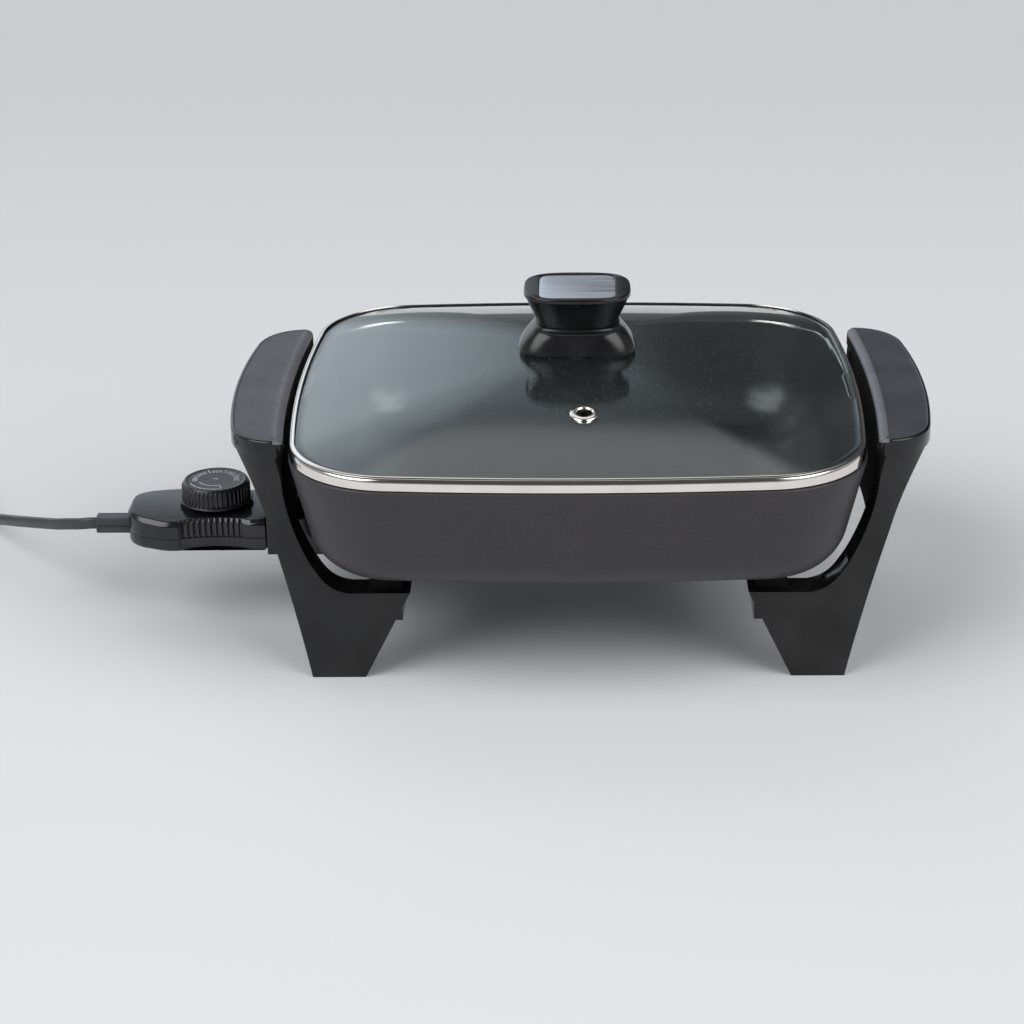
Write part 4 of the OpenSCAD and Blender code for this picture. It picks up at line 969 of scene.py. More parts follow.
@dataclass
class Cord:
    """Flat twin cord: the stretch in view, the coil, and the end that runs to the plug."""

    route_mm: tuple[tuple[float, float, float], ...] = (
        (-282, 0, 54.4), (-284.5, 0, 54.4), (-288.5, 1.3, 53.6), (-293, 3.4, 52.4),
        (-300.5, 9, 50), (-309.5, 17, 46.5), (-319, 27.5, 42.5), (-331, 41, 37.5),
        (-343.5, 57, 31.5), (-356, 74.5, 25), (-365, 91, 17.8), (-372, 107, 11),
        (-378, 122, 6.6), (-383.5, 137, 4.7), (-389, 152, 4.4),
    )
    width: float = 7 * MM
    thickness: float = 3.6 * MM
    coil_start: tuple[float, float] = (-394 * MM, 166 * MM)
    coil_heading: float = math.radians(110)
    coil_radius: float = 44 * MM
    coil_turns: float = 2.25
    coil_pitch: float = 3.8 * MM
    coil_floor: float = 0.9 * MM
    turn_steps: int = 30
    spiral_end: float = math.radians(52)
    curl: tuple[tuple[float, float, float], ...] = (
        (110, 0.5, 0), (122, 1.6, 0.4), (134, 2.8, 1.4), (146, 3.6, 2.8), (158, 4, 4.3),
        (169, 4.2, 5.8), (180, 4.2, 6.8),
    )
    run: tuple[tuple[float, float], ...] = (
        (0.16, 7.5), (0.34, 7.6), (0.53, 7.6), (0.75, 7.5), (0.86, 5.8), (0.95, 3.6), (1, 3.6),
    )
    plug_gap: float = 6 * MM

    def path(self) -> list[tuple[float, float, float]]:
        """Returns the centreline from the strain relief to the plug."""
        line = [tuple(v * MM for v in p) for p in self.route_mm]
        middle = self.coil_floor + self.width / 2
        first = self.coil_heading - math.pi / 2
        centre = (self.coil_start[0] - self.coil_radius * math.cos(first),
                  self.coil_start[1] - self.coil_radius * math.sin(first))
        sweep = self.coil_turns * math.tau - self.spiral_end
        for i in range(int(self.turn_steps * self.coil_turns) + 1):
            turn = sweep * i / int(self.turn_steps * self.coil_turns)
            r = self.coil_radius - self.coil_pitch * turn / math.tau
            line.append((centre[0] + r * math.cos(first + turn),
                         centre[1] + r * math.sin(first + turn), middle))
        inner = (self.coil_radius - self.coil_turns * self.coil_pitch - self.thickness / 2)
        for angle, inset, rise in self.curl:
            r, a = inner - inset * MM, math.radians(angle)
            line.append((centre[0] + r * math.cos(a), centre[1] + r * math.sin(a),
                         middle + rise * MM))
        x = centre[0] - inner + self.curl[-1][1] * MM
        rear = centre[1] - self.coil_radius - self.thickness / 2 - self.plug_gap
        for share, rise in self.run:
            line.append((x, centre[1] + share * (rear - centre[1]), middle + rise * MM))
        return line

    def section(self) -> bpy.types.Object:
        """Returns the twin section: two round lobes with a groove between them."""
        lobe = self.thickness / 2
        reach = self.width / 2 - lobe
        places = []
        for side in (1, -1):
            for i in range(9):
                a = math.radians(-62 + 124 * i / 8)
                places.append((lobe * math.sin(-a) * side, side * (reach + lobe * math.cos(a)), 0))
        count = len(places)
        return carrier_mesh("cord_section", places, [(i, (i + 1) % count) for i in range(count)])

    def build(self, finishes: Finishes) -> bpy.types.Object:
        line = through(self.path(), 3)
        recipe = Recipe("sweep_section", {"Section": ("NodeSocketObject", None),
                                          "Material": ("NodeSocketMaterial", None)})
        rail = recipe.node("GeometryNodeMeshToCurve", {"Mesh": recipe.input("Geometry")})
        upright = recipe.node("GeometryNodeSetCurveNormal", {"Curve": rail.outputs[0]})
        if hasattr(upright, "mode"):
            upright.mode = "Z_UP"
        else:
            upright.inputs["Mode"].default_value = "Z Up"
        info = recipe.node("GeometryNodeObjectInfo", {"Object": recipe.input("Section")})
        profile = recipe.node("GeometryNodeMeshToCurve", {"Mesh": info.outputs["Geometry"]})
        sweep = recipe.node("GeometryNodeCurveToMesh", {
            "Curve": upright.outputs[0], "Profile Curve": profile.outputs[0], "Fill Caps": True})
        recipe.finish(sweep.outputs[0])
        section = self.section()
        rail_mesh = carrier_mesh("cord", line, [(i, i + 1) for i in range(len(line) - 1)])
        piece = recipe.bake(rail_mesh, {"Section": section, "Material": finishes.vinyl})
        bpy.data.objects.remove(section)
        clean(piece)
        dress(piece, Body.CONTROL, [finishes.vinyl],
              ["power_cord", "cord_tail", "cord_coil"], math.radians(50))
        length = sum(math.dist(a, b) for a, b in zip(line, line[1:]))
        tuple(line[0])
        log.info("cord is %.3f m long", length)
        return piece


# ---- Pan -----------------------------------------------------------------------------


@dataclass
class Pan:
    """The die-cast pan with what is cast on its underside."""

    outline: BowedRectangle = field(default_factory=lambda: BowedRectangle(
        323 * MM, 297.8 * MM, 57 * MM))
    rim_z: float = 133 * MM
    bottom_z: float = 68 * MM
    draft: float = math.radians(13.4)
    fillet: float = 30 * MM
    wall: float = 3.2 * MM
    base: float = 4.2 * MM
    rim_round: float = 1.0 * MM
    fillet_steps: int = 16
    wall_steps: int = 3
    round_steps: int = 6
    underside_lap: float = 0.4 * MM
    element_z: float = 59 * MM
    ridge: float = 13 * MM
    groove: float = 4.2 * MM
    loop: tuple[float, float] = (90 * MM, 80 * MM)
    loop_bend: float = 30 * MM
    leg_bend: float = 22 * MM
    terminal_x: float = 128 * MM
    pin_y: float = 14.3 * MM
    mount: tuple[float, float] = (107 * MM, 78 * MM)
    boss_radius: float = 7 * MM
    boss_bore: float = 2.55 * MM
    boss_z: float = 58 * MM
    probe_block: tuple[float, float, float] = (80 * MM, 7 * MM, 52.825 * MM)
    probe_bore: float = 3.375 * MM

    def profile(self) -> tuple[Plan, int]:
        """Returns offsets and heights over the shell, and where the inside starts."""
        height = self.rim_z - self.bottom_z
        centre = (-self.fillet - (height - self.fillet) * math.sin(self.draft)) \
            / math.cos(self.draft)
        points = []
        for i in range(self.fillet_steps + 1):
            a = -math.pi / 2 + (math.pi / 2 - self.draft) * i / self.fillet_steps
            points.append((centre + self.fillet * math.cos(a),
                           self.bottom_z + self.fillet * (1 + math.sin(a))))
        slope = math.tan(self.draft)
        wall_low = points[-1][1]
        for i in range(1, self.wall_steps + 1):
            z = wall_low + (self.rim_z - self.rim_round - wall_low) * i / self.wall_steps
            points.append((-(self.rim_z - z) * slope, z))
        for a in arc_steps(self.round_steps):
            points.append((-self.rim_round * (slope + 1 - math.cos(a)),
                           self.rim_z - self.rim_round * (1 - math.sin(a))))
        inside = len(points)
        points.append((-self.wall, self.rim_z))
        for a in arc_steps(self.round_steps):
            points.append((-self.wall - self.rim_round * math.sin(a),
                           self.rim_z - self.rim_round * (1 - math.cos(a))))
        inner = self.fillet - self.wall
        floor = self.bottom_z + self.base + inner
        for i in range(self.fillet_steps + 1):
            a = -self.draft - (math.pi / 2 - self.draft) * i / self.fillet_steps
            points.append((centre + inner * math.cos(a), floor + inner * math.sin(a)))
        return points, inside

    def element_path(self) -> Plan:
        """Returns the element's centreline in plan, from one terminal to the other."""
        lx, ly = self.loop
        line = [(-self.terminal_x, self.pin_y)]

        def turn(centre: tuple[float, float], radius: float, start: float, end: float) -> None:
            """Adds a bend."""
            for i in range(13):
                a = math.radians(start + (end - start) * i / 12)
                line.append((centre[0] + radius * math.cos(a), centre[1] + radius * math.sin(a)))

        turn((-lx - self.leg_bend, self.pin_y + self.leg_bend), self.leg_bend, -90, 0)
        turn((-lx + self.loop_bend, ly - self.loop_bend), self.loop_bend, 180, 90)
        turn((lx - self.loop_bend, ly - self.loop_bend), self.loop_bend, 90, 0)
        return line + [(x, -y) for x, y in reversed(line)]

    def build_shell(self, finishes: Finishes) -> bpy.types.Object:
        """Builds the pan's shell."""
        points, inside = self.profile()
        mesh = Mesher()
        mesh.loft([self.outline.ring(off, z) for off, z in points],
                  lambda k: 1 if k >= inside else 0)
        return dress(mesh.build("pan_shell"), Body.BASE,
                     [finishes.coat_outside, finishes.coat_inside], ["pan"])

    def build_underside(self, finishes: Finishes) -> bpy.types.Object:
        """Builds the ridge that holds the element, the probe's block and the bosses."""
        half = self.ridge / 2
        top = self.bottom_z + self.underside_lap
        section = [(half, top), (half, self.element_z), (self.groove, self.element_z)]
        for a in arc_steps(12, math.pi)[:-1]:
            section.append((self.groove * math.cos(a), self.element_z + self.groove * math.sin(a)))
        section += [(-self.groove, self.element_z), (-half, self.element_z), (-half, top)]
        path = self.element_path()
        rings = []
        for i, (x, y) in enumerate(path):
            before, after = path[max(i - 1, 0)], path[min(i + 1, len(path) - 1)]
            run = Vector((after[0] - before[0], after[1] - before[1])).normalized()
            rings.append([(x + run.y * s, y - run.x * s, z) for s, z in section])
        mesh = Mesher()
        mesh.loft(rings)
        ridge = mesh.build("pan_underside")
        depth, side, low = self.probe_block
        parts = [block("probe_block", (-self.terminal_x, -side, low), (-depth, side, top))]
        mx, my = self.mount
        mounts = [(x, y) for x in (-mx, mx) for y in (-my, my)]
        parts += [cylinder("boss", place, self.boss_radius, self.boss_z, top)
                  for place in mounts]
        piece = boolean(ridge, parts, "UNION")
        cuts = [cylinder("bore", place, self.boss_bore, self.boss_z - MM, top - MM, 32)
                for place in mounts]
        bore = bore_along_x((-self.terminal_x - MM, 0, self.element_z), self.probe_bore,
                            self.terminal_x - depth)
        piece = boolean(piece, [*cuts, bore], "DIFFERENCE")
        clean(piece)
        return dress(piece, Body.BASE, [finishes.coat_outside])


# ---- Lid -----------------------------------------------------------------------------


@dataclass
class Lid:
    """Domed glass in its steel band, with the vent."""

    outline: BowedRectangle = field(default_factory=lambda: BowedRectangle(
        321.2 * MM, 296 * MM, 58 * MM))
    band_low: float = 133.4 * MM
    band_height: float = 7.6 * MM
    sheet: float = 0.7 * MM
    flange: float = 3 * MM
    seat: float = 5.6 * MM
    skirt: float = 4 * MM
    edge_round: tuple[float, float] = (2.9 * MM, 4.2 * MM)
    gap: float = 0.15 * MM
    glass: float = 4 * MM
    glass_round: float = 1.4 * MM
    rise: float = 23.3 * MM
    steps: int = 22
    foot_bead: float = 0.75 * MM
    knob_hole: float = 3.6 * MM
    vent: tuple[float, float] = (3.5 * MM, 87 * MM)
    vent_bore: float = 4.3 * MM
    vent_flange: float = 7.85 * MM

    @property
    def glass_offset(self) -> float:
        """Offset of the glass edge from the band's outside."""
        return -self.sheet - self.gap

    @property
    def edge_z(self) -> float:
        """Height of the glass edge's upper face."""
        reach = self.outline.depth / 2 + self.glass_offset
        share = 1 - (self.flange + self.glass_offset) / reach
        climb = self.rise * (1 - share * share)
        return self.band_low + self.band_height - self.sheet - self.gap - climb

    def dome_z(self, share: float) -> float:
        """Returns the height of the glass at a share of the way to its edge."""
        return self.edge_z + self.rise * (1 - share * share)

    def build_glass(self, finishes: Finishes) -> bpy.types.Object:
        """Builds the glass as a flat pane that Geometry Nodes raise into the dome."""
        round_edge = self.glass_round
        mesh = Mesher()
        shares: list[float] = []
        rings = []

        def layer(share: float, inset: float, z: float) -> None:
            """Adds a ring of the pane."""
            ring = [(x * share, y * share, z)
                    for x, y, _ in self.outline.ring(self.glass_offset - inset, 0)]
            rings.append(ring)
            shares.extend([share] * len(ring))

        steps = [i / self.steps for i in range(1, self.steps + 1)]
        for share in steps:
            layer(share, round_edge if share == 1 else round_edge * share, -self.glass)
        for a in arc_steps(8, math.pi)[:-1]:
            layer(1.0, round_edge * (1 - math.sin(a)), -self.glass / 2 * (1 + math.cos(a)))
        for share in reversed(steps):
            layer(share, round_edge * share, 0)
        mesh.loft(rings)
        pane = mesh.build("lid_glass_pane", outward=False)
        attribute = pane.data.attributes.new("share", "FLOAT", "POINT")
        attribute.data.foreach_set("value", shares)
        recipe = Recipe("raise_dome", {"Rise": ("NodeSocketFloat", 0.02),
                                       "Edge Height": ("NodeSocketFloat", 0.1),
                                       "Material": ("NodeSocketMaterial", None)})
        share = recipe.node("GeometryNodeInputNamedAttribute", {"Name": "share"},
                            data_type="FLOAT").outputs["Attribute"]
        drop = recipe.math("SUBTRACT", 1.0, recipe.math("MULTIPLY", share, share))
        lift = recipe.math("ADD", recipe.math("MULTIPLY", drop, recipe.input("Rise")),
                           recipe.input("Edge Height"))
        offset = recipe.node("ShaderNodeCombineXYZ", {"Z": lift})
        moved = recipe.node("GeometryNodeSetPosition", {"Geometry": recipe.input("Geometry"),
                                                        "Offset": offset.outputs[0]})
        recipe.finish(moved.outputs[0])
        piece = recipe.bake(pane, {"Rise": self.rise, "Edge Height": self.edge_z,
                                   "Material": finishes.glass})
        piece.name = "lid_dome"
        clean(piece)
        hole = cylinder("hole", (0, 0), self.knob_hole, 0.1, 0.2, 40)
        vent = cylinder("hole", (0, 0), self.vent_bore + 1.2 * MM, -10 * MM, 10 * MM, 40)
        vent.data.transform(self.vent_frame())
        piece = boolean(piece, [hole, vent], "DIFFERENCE")
        return dress(piece, Body.LID, [finishes.glass], ["lid_glass"])

    def vent_frame(self) -> Matrix:
        """Returns the place and tilt of the vent on the dome."""
        reach = self.outline.depth / 2 + self.glass_offset
        share = self.vent[1] / reach
        tilt = math.atan(2 * self.rise * share / reach)
        return (Matrix.Translation((self.vent[0], -self.vent[1], self.dome_z(share)))
                @ Matrix.Rotation(tilt, 4, "X"))

    def build_band(self, finishes: Finishes) -> bpy.types.Object:
        """Builds the steel band that is rolled round the glass."""
        top, low, t = self.band_low + self.band_height, self.band_low, self.sheet
        across, down = self.edge_round
        points = [(0.0, low + 0.3 * MM), (0.0, low + 2.0 * MM), (0.0, top - down)]
        for a in arc_steps(12):
            points.append((-across * (1 - math.cos(a)), top - down * (1 - math.sin(a))))
        end = -self.flange
        points += [(end + 0.05 * MM, top - 0.25 * MM), (end, top - t), (-t, top - t)]
        inside = len(points) - 1
        ledge = self.edge_z - self.glass - self.gap
        skirt = low - self.skirt
        points += [(-t, ledge), (-self.seat + t, ledge), (-self.seat, ledge - t),
                   (-self.seat, skirt + 1.7 * MM)]
        bead = self.foot_bead
        foot = len(points) - 1
        points += [(-self.seat - bead * (math.sin(a) - 0.1), skirt + bead * (1 + math.cos(a)))
                   for a in arc_steps(8, math.pi)[:-1]]
        points += [(-self.seat + t / 2, skirt), (-self.seat + t, skirt + 0.2 * MM)]
        outer = len(points) - 1
        points += [(-self.seat + t, ledge - t), (-t, ledge - t), (-t, low + 0.2 * MM),
                   (-t / 2, low)]

        def slot(k: int) -> int:
            """Returns 0 for polished steel and 1 for the inner faces, whose darker teal satin
            steel is painted shade.
            """
            return 1 if inside <= k < foot or outer <= k < len(points) - 2 else 0

        mesh = Mesher()
        mesh.loft([self.outline.ring(off, z) for off, z in points], slot, around=True)
        return dress(mesh.build("lid_band"), Body.LID,
                     [finishes.band, finishes.skirt], ["lid_rim"], math.radians(40))

    def build_vent(self, finishes: Finishes) -> bpy.types.Object:
        """Builds the grommet of the steam vent."""
        t, b, f = self.glass, self.vent_bore, self.vent_flange
        profile = [(b, -t - 0.95 * MM), (f - 1.2 * MM, -t - 0.95 * MM),
                   (f - 1.2 * MM, -t - 0.2 * MM), (b + MM, -t - 0.15 * MM),
                   (b + MM, 0.15 * MM), (f - 0.2 * MM, 0.15 * MM), (f, 0.4 * MM),
                   (f - 0.2 * MM, 0.75 * MM), (f - 0.9 * MM, 0.98 * MM)]
        for i in range(1, 8):
            a = math.radians(90 + 90 * i / 7)
            profile.append((b + 1.4 * MM + 1.4 * MM * math.cos(a),
                            0.15 * MM + 1.35 * MM * math.sin(a)))
        piece = lathe("vent_ring", profile, steps=64)
        piece.data.transform(self.vent_frame())
        return dress(piece, Body.LID, [finishes.band], ["vent_grommet"],
                     math.radians(55))


@dataclass
class Knob:
    """Two-part moulded knob with its metal plate."""

    base_z: float
    base: tuple[float, float, float] = (67 * MM, 44 * MM, 15.6 * MM)
    neck: tuple[float, float] = (44.6 * MM, 37 * MM)
    top: tuple[float, float] = (60.6 * MM, 52 * MM)
    grip: float = 19.8 * MM
    plate: tuple[float, float] = (43 * MM, 43 * MM)
    plate_thickness: float = 1 * MM
    recess: float = 0.5 * MM
    power: float = 3.2
    plate_power: float = 7.0

    @property
    def base_top(self) -> float:
        """Height of the joint between base and grip."""
        return self.base_z + self.base[2]

    @property
    def top_z(self) -> float:
        """Height of the grip's upper face."""
        return self.base_top + self.grip

    def rings(self, keys: Sequence[tuple[float, float, float]], steps: int) -> list[Ring]:
        """Returns superellipse rings on a smooth curve through widths, depths and heights."""
        return [superellipse(w, d, z, self.power) for w, d, z in through(keys, steps)]

    def build_base(self, finishes: Finishes) -> bpy.types.Object:
        """Builds the flared base."""
        w, d, h = self.base
        nw, nd = self.neck
        z = self.base_z
        foot = [(w - 1.4 * MM, d - 1.4 * MM, z), (w - 0.3 * MM, d - 0.3 * MM, z + 0.3 * MM)]
        skirt = [(w, d, z + 0.9 * MM), (w - 0.8 * MM, d - 0.6 * MM, z + h * 0.15),
                 (w - 4.2 * MM, d - 2.2 * MM, z + h * 0.36),
                 (w - 9.4 * MM, d - 4.2 * MM, z + h * 0.6),
                 (w - 14.8 * MM, d - 6.2 * MM, z + h * 0.8),
                 (nw + 4.4 * MM, nd + 1.6 * MM, z + h * 0.93),
                 (nw + 3.2 * MM, nd + 0.6 * MM, z + h * 0.985),
                 (nw + 2.2 * MM, nd - 0.2 * MM, z + h)]
        mesh = Mesher()
        mesh.loft([superellipse(*k, self.power) for k in foot] + self.rings(skirt, 4))
        return dress(mesh.build("knob_foot"), Body.LID, [finishes.gloss],
                     ["knob_base"], math.radians(45))

    def build_grip(self, finishes: Finishes) -> bpy.types.Object:
        """Builds the grip with the recess for the plate."""
        nw, nd = self.neck
        tw, td = self.top
        z, flare = self.base_top, self.grip - 3 * MM
        wall = [(nw, nd, z + 0.3 * MM), (nw + 1.2 * MM, nd + 1.4 * MM, z + flare * 0.1),
                (nw + 5 * MM, nd + 4.4 * MM, z + flare * 0.36),
                (nw + 10 * MM, nd + 8.6 * MM, z + flare * 0.68),
                (tw - 1.8 * MM, td - 1.8 * MM, z + flare)]
        rings = [superellipse(nw - 0.6 * MM, nd - 0.6 * MM, z, self.power)] + self.rings(wall, 4)
        side = 0.6 * MM
        for a in arc_steps(4):
            inset = 2 * side * (1 - math.sin(a)) * 0.6
            rings.append(superellipse(tw - inset, td - inset, z + flare + side * math.sin(a),
                                      self.power))
        rings.append(superellipse(tw, td, self.top_z - 2.2 * MM, self.power))
        rings.append(superellipse(tw - 0.3 * MM, td - 0.3 * MM, self.top_z - 1.2 * MM, self.power))
        drop = 1.0 * MM
        for a in arc_steps(5):
            inset = 2 * drop * (1 - math.cos(a))
            rings.append(superellipse(tw - 0.3 * MM - inset, td - 0.3 * MM - inset,
                                      self.top_z - drop * (1 - math.sin(a)), self.power))
        pw, pd = (v + 0.4 * MM for v in self.plate)
        rings.append(superellipse(pw + 0.5 * MM, pd + 0.5 * MM, self.top_z, self.plate_power))
        rings.append(superellipse(pw, pd, self.top_z - 0.25 * MM, self.plate_power))
        rings.append(superellipse(pw, pd, self.top_z - self.recess - self.plate_thickness,
                                  self.plate_power))
        mesh = Mesher()
        mesh.loft(rings)
        return dress(mesh.build("knob_head"), Body.LID, [finishes.gloss],
                     ["knob_grip"], math.radians(40))

    def build_plate(self, finishes: Finishes) -> bpy.types.Object:
        """Builds the brushed plate."""
        w, d = self.plate
        low = self.top_z - self.recess - self.plate_thickness
        high = self.top_z - self.recess
        rings = [superellipse(w, d, low, self.plate_power),
                 superellipse(w, d, high - 0.3 * MM, self.plate_power),
                 superellipse(w - 0.2 * MM, d - 0.2 * MM, high - 0.08 * MM, self.plate_power),
                 superellipse(w - 0.7 * MM, d - 0.7 * MM, high, self.plate_power)]
        mesh = Mesher()
        mesh.loft(rings)
        return dress(mesh.build("knob_plate"), Body.LID, [finishes.insert],
                     ["knob_insert"])


# ---- Handle brackets -----------------------------------------------------------------


class GripSlot(IntEnum):
    """Material slots of a bracket."""

    GLOSS = 0
    SATIN = 1
    MATT = 2
    # Lighter grey on the inner bevel, a painted highlight.
    WORN = 3


@dataclass
class Bracket:
    """A moulded grip on two arms with their legs, and the rail between them. Millimetres."""

    side: int
    set_over: float = 1.6
    pan_half: float = 161.5
    pan_arc: float = 0.0
    gap: float = 4.1
    reach: float = 31.4
    half_depth: float = 94.0
    corner: float = 5.0
    outer_arc: float = 490.0
    corner_turn: float = 69.0
    top: float = 141.8
    grip: float = 10.0
    skin: float = 4.0
    arm: float = 19.0
    shield: float = 3.0
    shield_low: float = 68.3
    foot: tuple[float, float] = (119.0, 149.0)
    rail_x: tuple[float, float] = (98.0, 113.0)
    rail_z: tuple[float, float] = (28.0, 51.0)
    rail_wall: float = 3.0
    mount: tuple[float, float] = (107.0, 78.0)
    boss_z: float = 58.0
    seat_z: float = 44.0
    hole: float = 2.7
    well: float = 5.7
    pad: tuple[float, float, float] = (9.0, 68.0, 87.0)
    bevel_width: float = 5.0
    bevel_drop: float = 3.0
    lip: float = 1.5
    edge: float = 1.0
    fade: float = 14.0
    inner_reach: float = 5.6
    bevel_steps: int = 9
    satin_rings: int = 6
    inner_strip: float = 8.0
    least_facing: float = 0.05
    wall_facing: float = 0.85
    pad_facing: float = 0.8

    @property
    def lean(self) -> float:
        """How far the top is set outwards. Both handles are set to the right."""
        return self.side * self.set_over

    @property
    def inner(self) -> float:
        """Where the grip's inner edge is at the middle."""
        return self.pan_half + self.gap

    @property
    def outer(self) -> float:
        """Where the grip's outer edge is at the middle."""
        return self.inner + self.reach

    @property
    def grip_low(self) -> float:
        """Height of the grip's underside."""
        return self.top - self.grip

    def inner_edge(self, y: float) -> float:
        """Returns the X of the grip's inner edge."""
        radius = self.pan_arc + self.gap
        return self.inner - radius + math.sqrt(radius * radius - y * y)

    def outer_edge(self, y: float) -> float:
        """Returns the X of the grip's outer arc."""
        r = self.outer_arc
        return self.outer - r + math.sqrt(r * r - y * y)

    def corners(self) -> tuple[Plan, Plan]:
        """Returns the curves of the inner and the outer corner at the back."""
        r, end = self.corner, self.half_depth - self.corner
        x = self.inner_edge(end)
        small = bezier((x, end), (x - 0.4, end + r / 2), (x + r / 3, self.half_depth),
                       (x + r, self.half_depth), 10)
        large = bezier(small[-1], (self.outer - 14, self.half_depth - 1.5),
                       (self.outer - 7, self.half_depth - 14),
                       (self.outer_edge(self.corner_turn), self.corner_turn), 22)
        return small, large

    def plan(self) -> tuple[Plan, list[float]]:
        """Returns the grip's plan, anticlockwise, and how much each point is inner edge."""
        small, large = self.corners()
        end = self.half_depth - self.corner
        back = [(self.inner_edge(end * i / 20), end * i / 20, 1.0) for i in range(20)]
        back += [(x, y, 1 - i / 10) for i, (x, y) in enumerate(small)]
        back += [(x, y, 0.0) for x, y in large[1:]]
        back += [(self.outer_edge(y), y, 0.0)
                 for y in (self.corner_turn * i / 20 for i in range(19, -1, -1))]
        front = [(x, -y, share) for x, y, share in back[1:-1]]
        loop = front + list(reversed(back))
        return [(x, y) for x, y, _ in loop], [share for _, _, share in loop]

    def front_limit(self, x: float) -> float:
        """Returns how far an arm reaches in Y at a place across the grip's corner."""
        curve = self.corners()[1]
        if x <= curve[0][0]:
            return self.half_depth
        for a, b in zip(curve, curve[1:]):
            if x <= b[0]:
                return a[1] + (b[1] - a[1]) * (x - a[0]) / (b[0] - a[0])
        return curve[-1][1]

    def arm_edges(self) -> tuple[Plan, Plan]:
        """Returns the inner and outer edge of an arm in front view, from the foot up."""
        low, shelf = self.grip_low, self.rail_z[1] + 0.6
        shelf_in = self.rail_x[0] - 4.4
        hip = (self.outer - 25.9, low - 38)
        under = (self.outer - 16.2, low - 11.5)
        top = self.outer - 8.7
        bend = (self.inner - 17.6, shelf + 17.9)

        def by(point: tuple[float, float], x: float, z: float) -> tuple[float, float]:
            """Returns a point beside another."""
            return (point[0] + x, point[1] + z)

        inner = [(self.foot[0], 0.0), (shelf_in + 0.6, shelf - 1.2), (shelf_in, shelf),
                 *reversed(bezier(by(bend, -4, -6.5), by(bend, -8.5, -13.5),
                                  by(bend, -13, -16.5), (bend[0] - 21, shelf), 12)),
                 *reversed(bezier((self.inner - 3.5, low - 13), (self.inner - 4, low - 29),
                                  by(bend, 7.5, 14.5), bend, 16)),
                 (self.inner - 3.4, low + 1)]
        outer = [*bezier((self.foot[1], 0), (self.foot[1] + 4.5, hip[1] / 4),
                         by(hip, -8.8, -hip[1] / 3), hip, 20),
                 *bezier(by(hip, 1, 4), by(hip, 3.4, 12), by(hip, 6.2, 19.5), under, 12),
                 *bezier(by(under, 1.4, 3), by(under, 3.4, 6.5), (top, low - 2.5),
                         (top, low + 1), 10)]
        return inner, outer

    def arm_ring(self, x_in: float, x_out: float, z: float) -> Ring:
        """Returns one slice of the back arm."""
        shift = self.lean * z / self.top
        x_in, x_out = x_in + shift, x_out + shift
        y = self.half_depth - self.arm
        share = min(1.0, max(0.0, (z - self.grip_low + self.fade) / self.fade))
        r = self.edge + (self.inner_reach - self.edge) * share * share
        face = [x_out + (x_in + r - x_out) * i / 22 for i in range(23)]
        turn = [(x_in + r * (1 - math.sin(a)), self.half_depth - r * (1 - math.cos(a)), z)
                for a in arc_steps(8)]
        return [(x_in, y, z), (x_out, y, z),
                *((x, self.front_limit(x - self.lean), z) for x in face), *turn]

    def build_arm(self) -> bpy.types.Object:
        """Builds the back arm with its leg."""
        inner, outer = self.arm_edges()
        shelf = inner[2][1]

        def at(edge: Plan, z: float) -> float:
            """Returns the X of an edge at a height."""
            for a, b in zip(edge, edge[1:]):
                if a[1] <= z <= b[1] and b[1] > a[1]:
                    return a[0] + (b[0] - a[0]) * (z - a[1]) / (b[1] - a[1])
            return edge[-1][0]

        heights = [0, 8, 16, 24, 32, 40, 46, shelf - 1.2]
        rings = [self.arm_ring(at(inner, z), at(outer, z), z) for z in heights]
        rings.append(self.arm_ring(inner[2][0], at(outer, shelf), shelf))
        for x, z in inner[3:]:
            rings.append(self.arm_ring(x, at(outer, z), z))
        mesh = Mesher(MM)
        mesh.loft(rings)
        return bevel(mesh.build("arm"), 0.6 * MM, 2)

    def build_grip(self, finishes: Finishes) -> bpy.types.Object:
        """Builds the grip, with a bevel on its inner edge and a glossy lip outside."""
        plan, shares = self.plan()
        low, top, lip = self.grip_low, self.top, self.lip
        levels = [(0.8, low, 0.8, low), (0.24, low + 0.24, 0.24, low + 0.24),
                  (0.0, low + 0.8, 0.0, low + 0.8), (0.0, low + 5, 0.0, low + 4.5),
                  (0.0, top - lip, 0.0, top - self.bevel_drop)]
        for a in arc_steps(self.bevel_steps):
            levels.append((lip * (1 - math.cos(a)), top - lip * (1 - math.sin(a)),
                           self.bevel_width * (1 - math.cos(a)),
                           top - self.bevel_drop * (1 - math.sin(a))))
        wide = self.bevel_width
        levels += [(lip + 0.3, top - 0.02, wide + 0.2, top - 0.03),
                   (lip + 0.5, top - 0.12, wide + 0.5, top - 0.02),
                   (lip + 0.7, top - 0.2, wide + 0.8, top - 0.06),
                   (lip + 1.2, top - 0.2, wide + 1.4, top - 0.14),
                   (lip + 2.0, top - 0.2, wide + 2.4, top - 0.2)]
        rings = []
        for out_inset, out_z, in_inset, in_z in levels:
            moved = [inset_plan(plan, d) for d in (out_inset, in_inset)]
            rings.append([
                (self.lean + a[0] + (b[0] - a[0]) * s, a[1] + (b[1] - a[1]) * s,
                 out_z + (in_z - out_z) * s)
                for a, b, s in zip(moved[0], moved[1], shares)])
        mesh = Mesher(MM)
        first = len(levels) - self.satin_rings
        mesh.loft(rings, lambda k: GripSlot.SATIN if k >= first else GripSlot.GLOSS)
        piece = mesh.build("grip")
        paint(piece, [finishes.gloss, finishes.satin])
        return piece

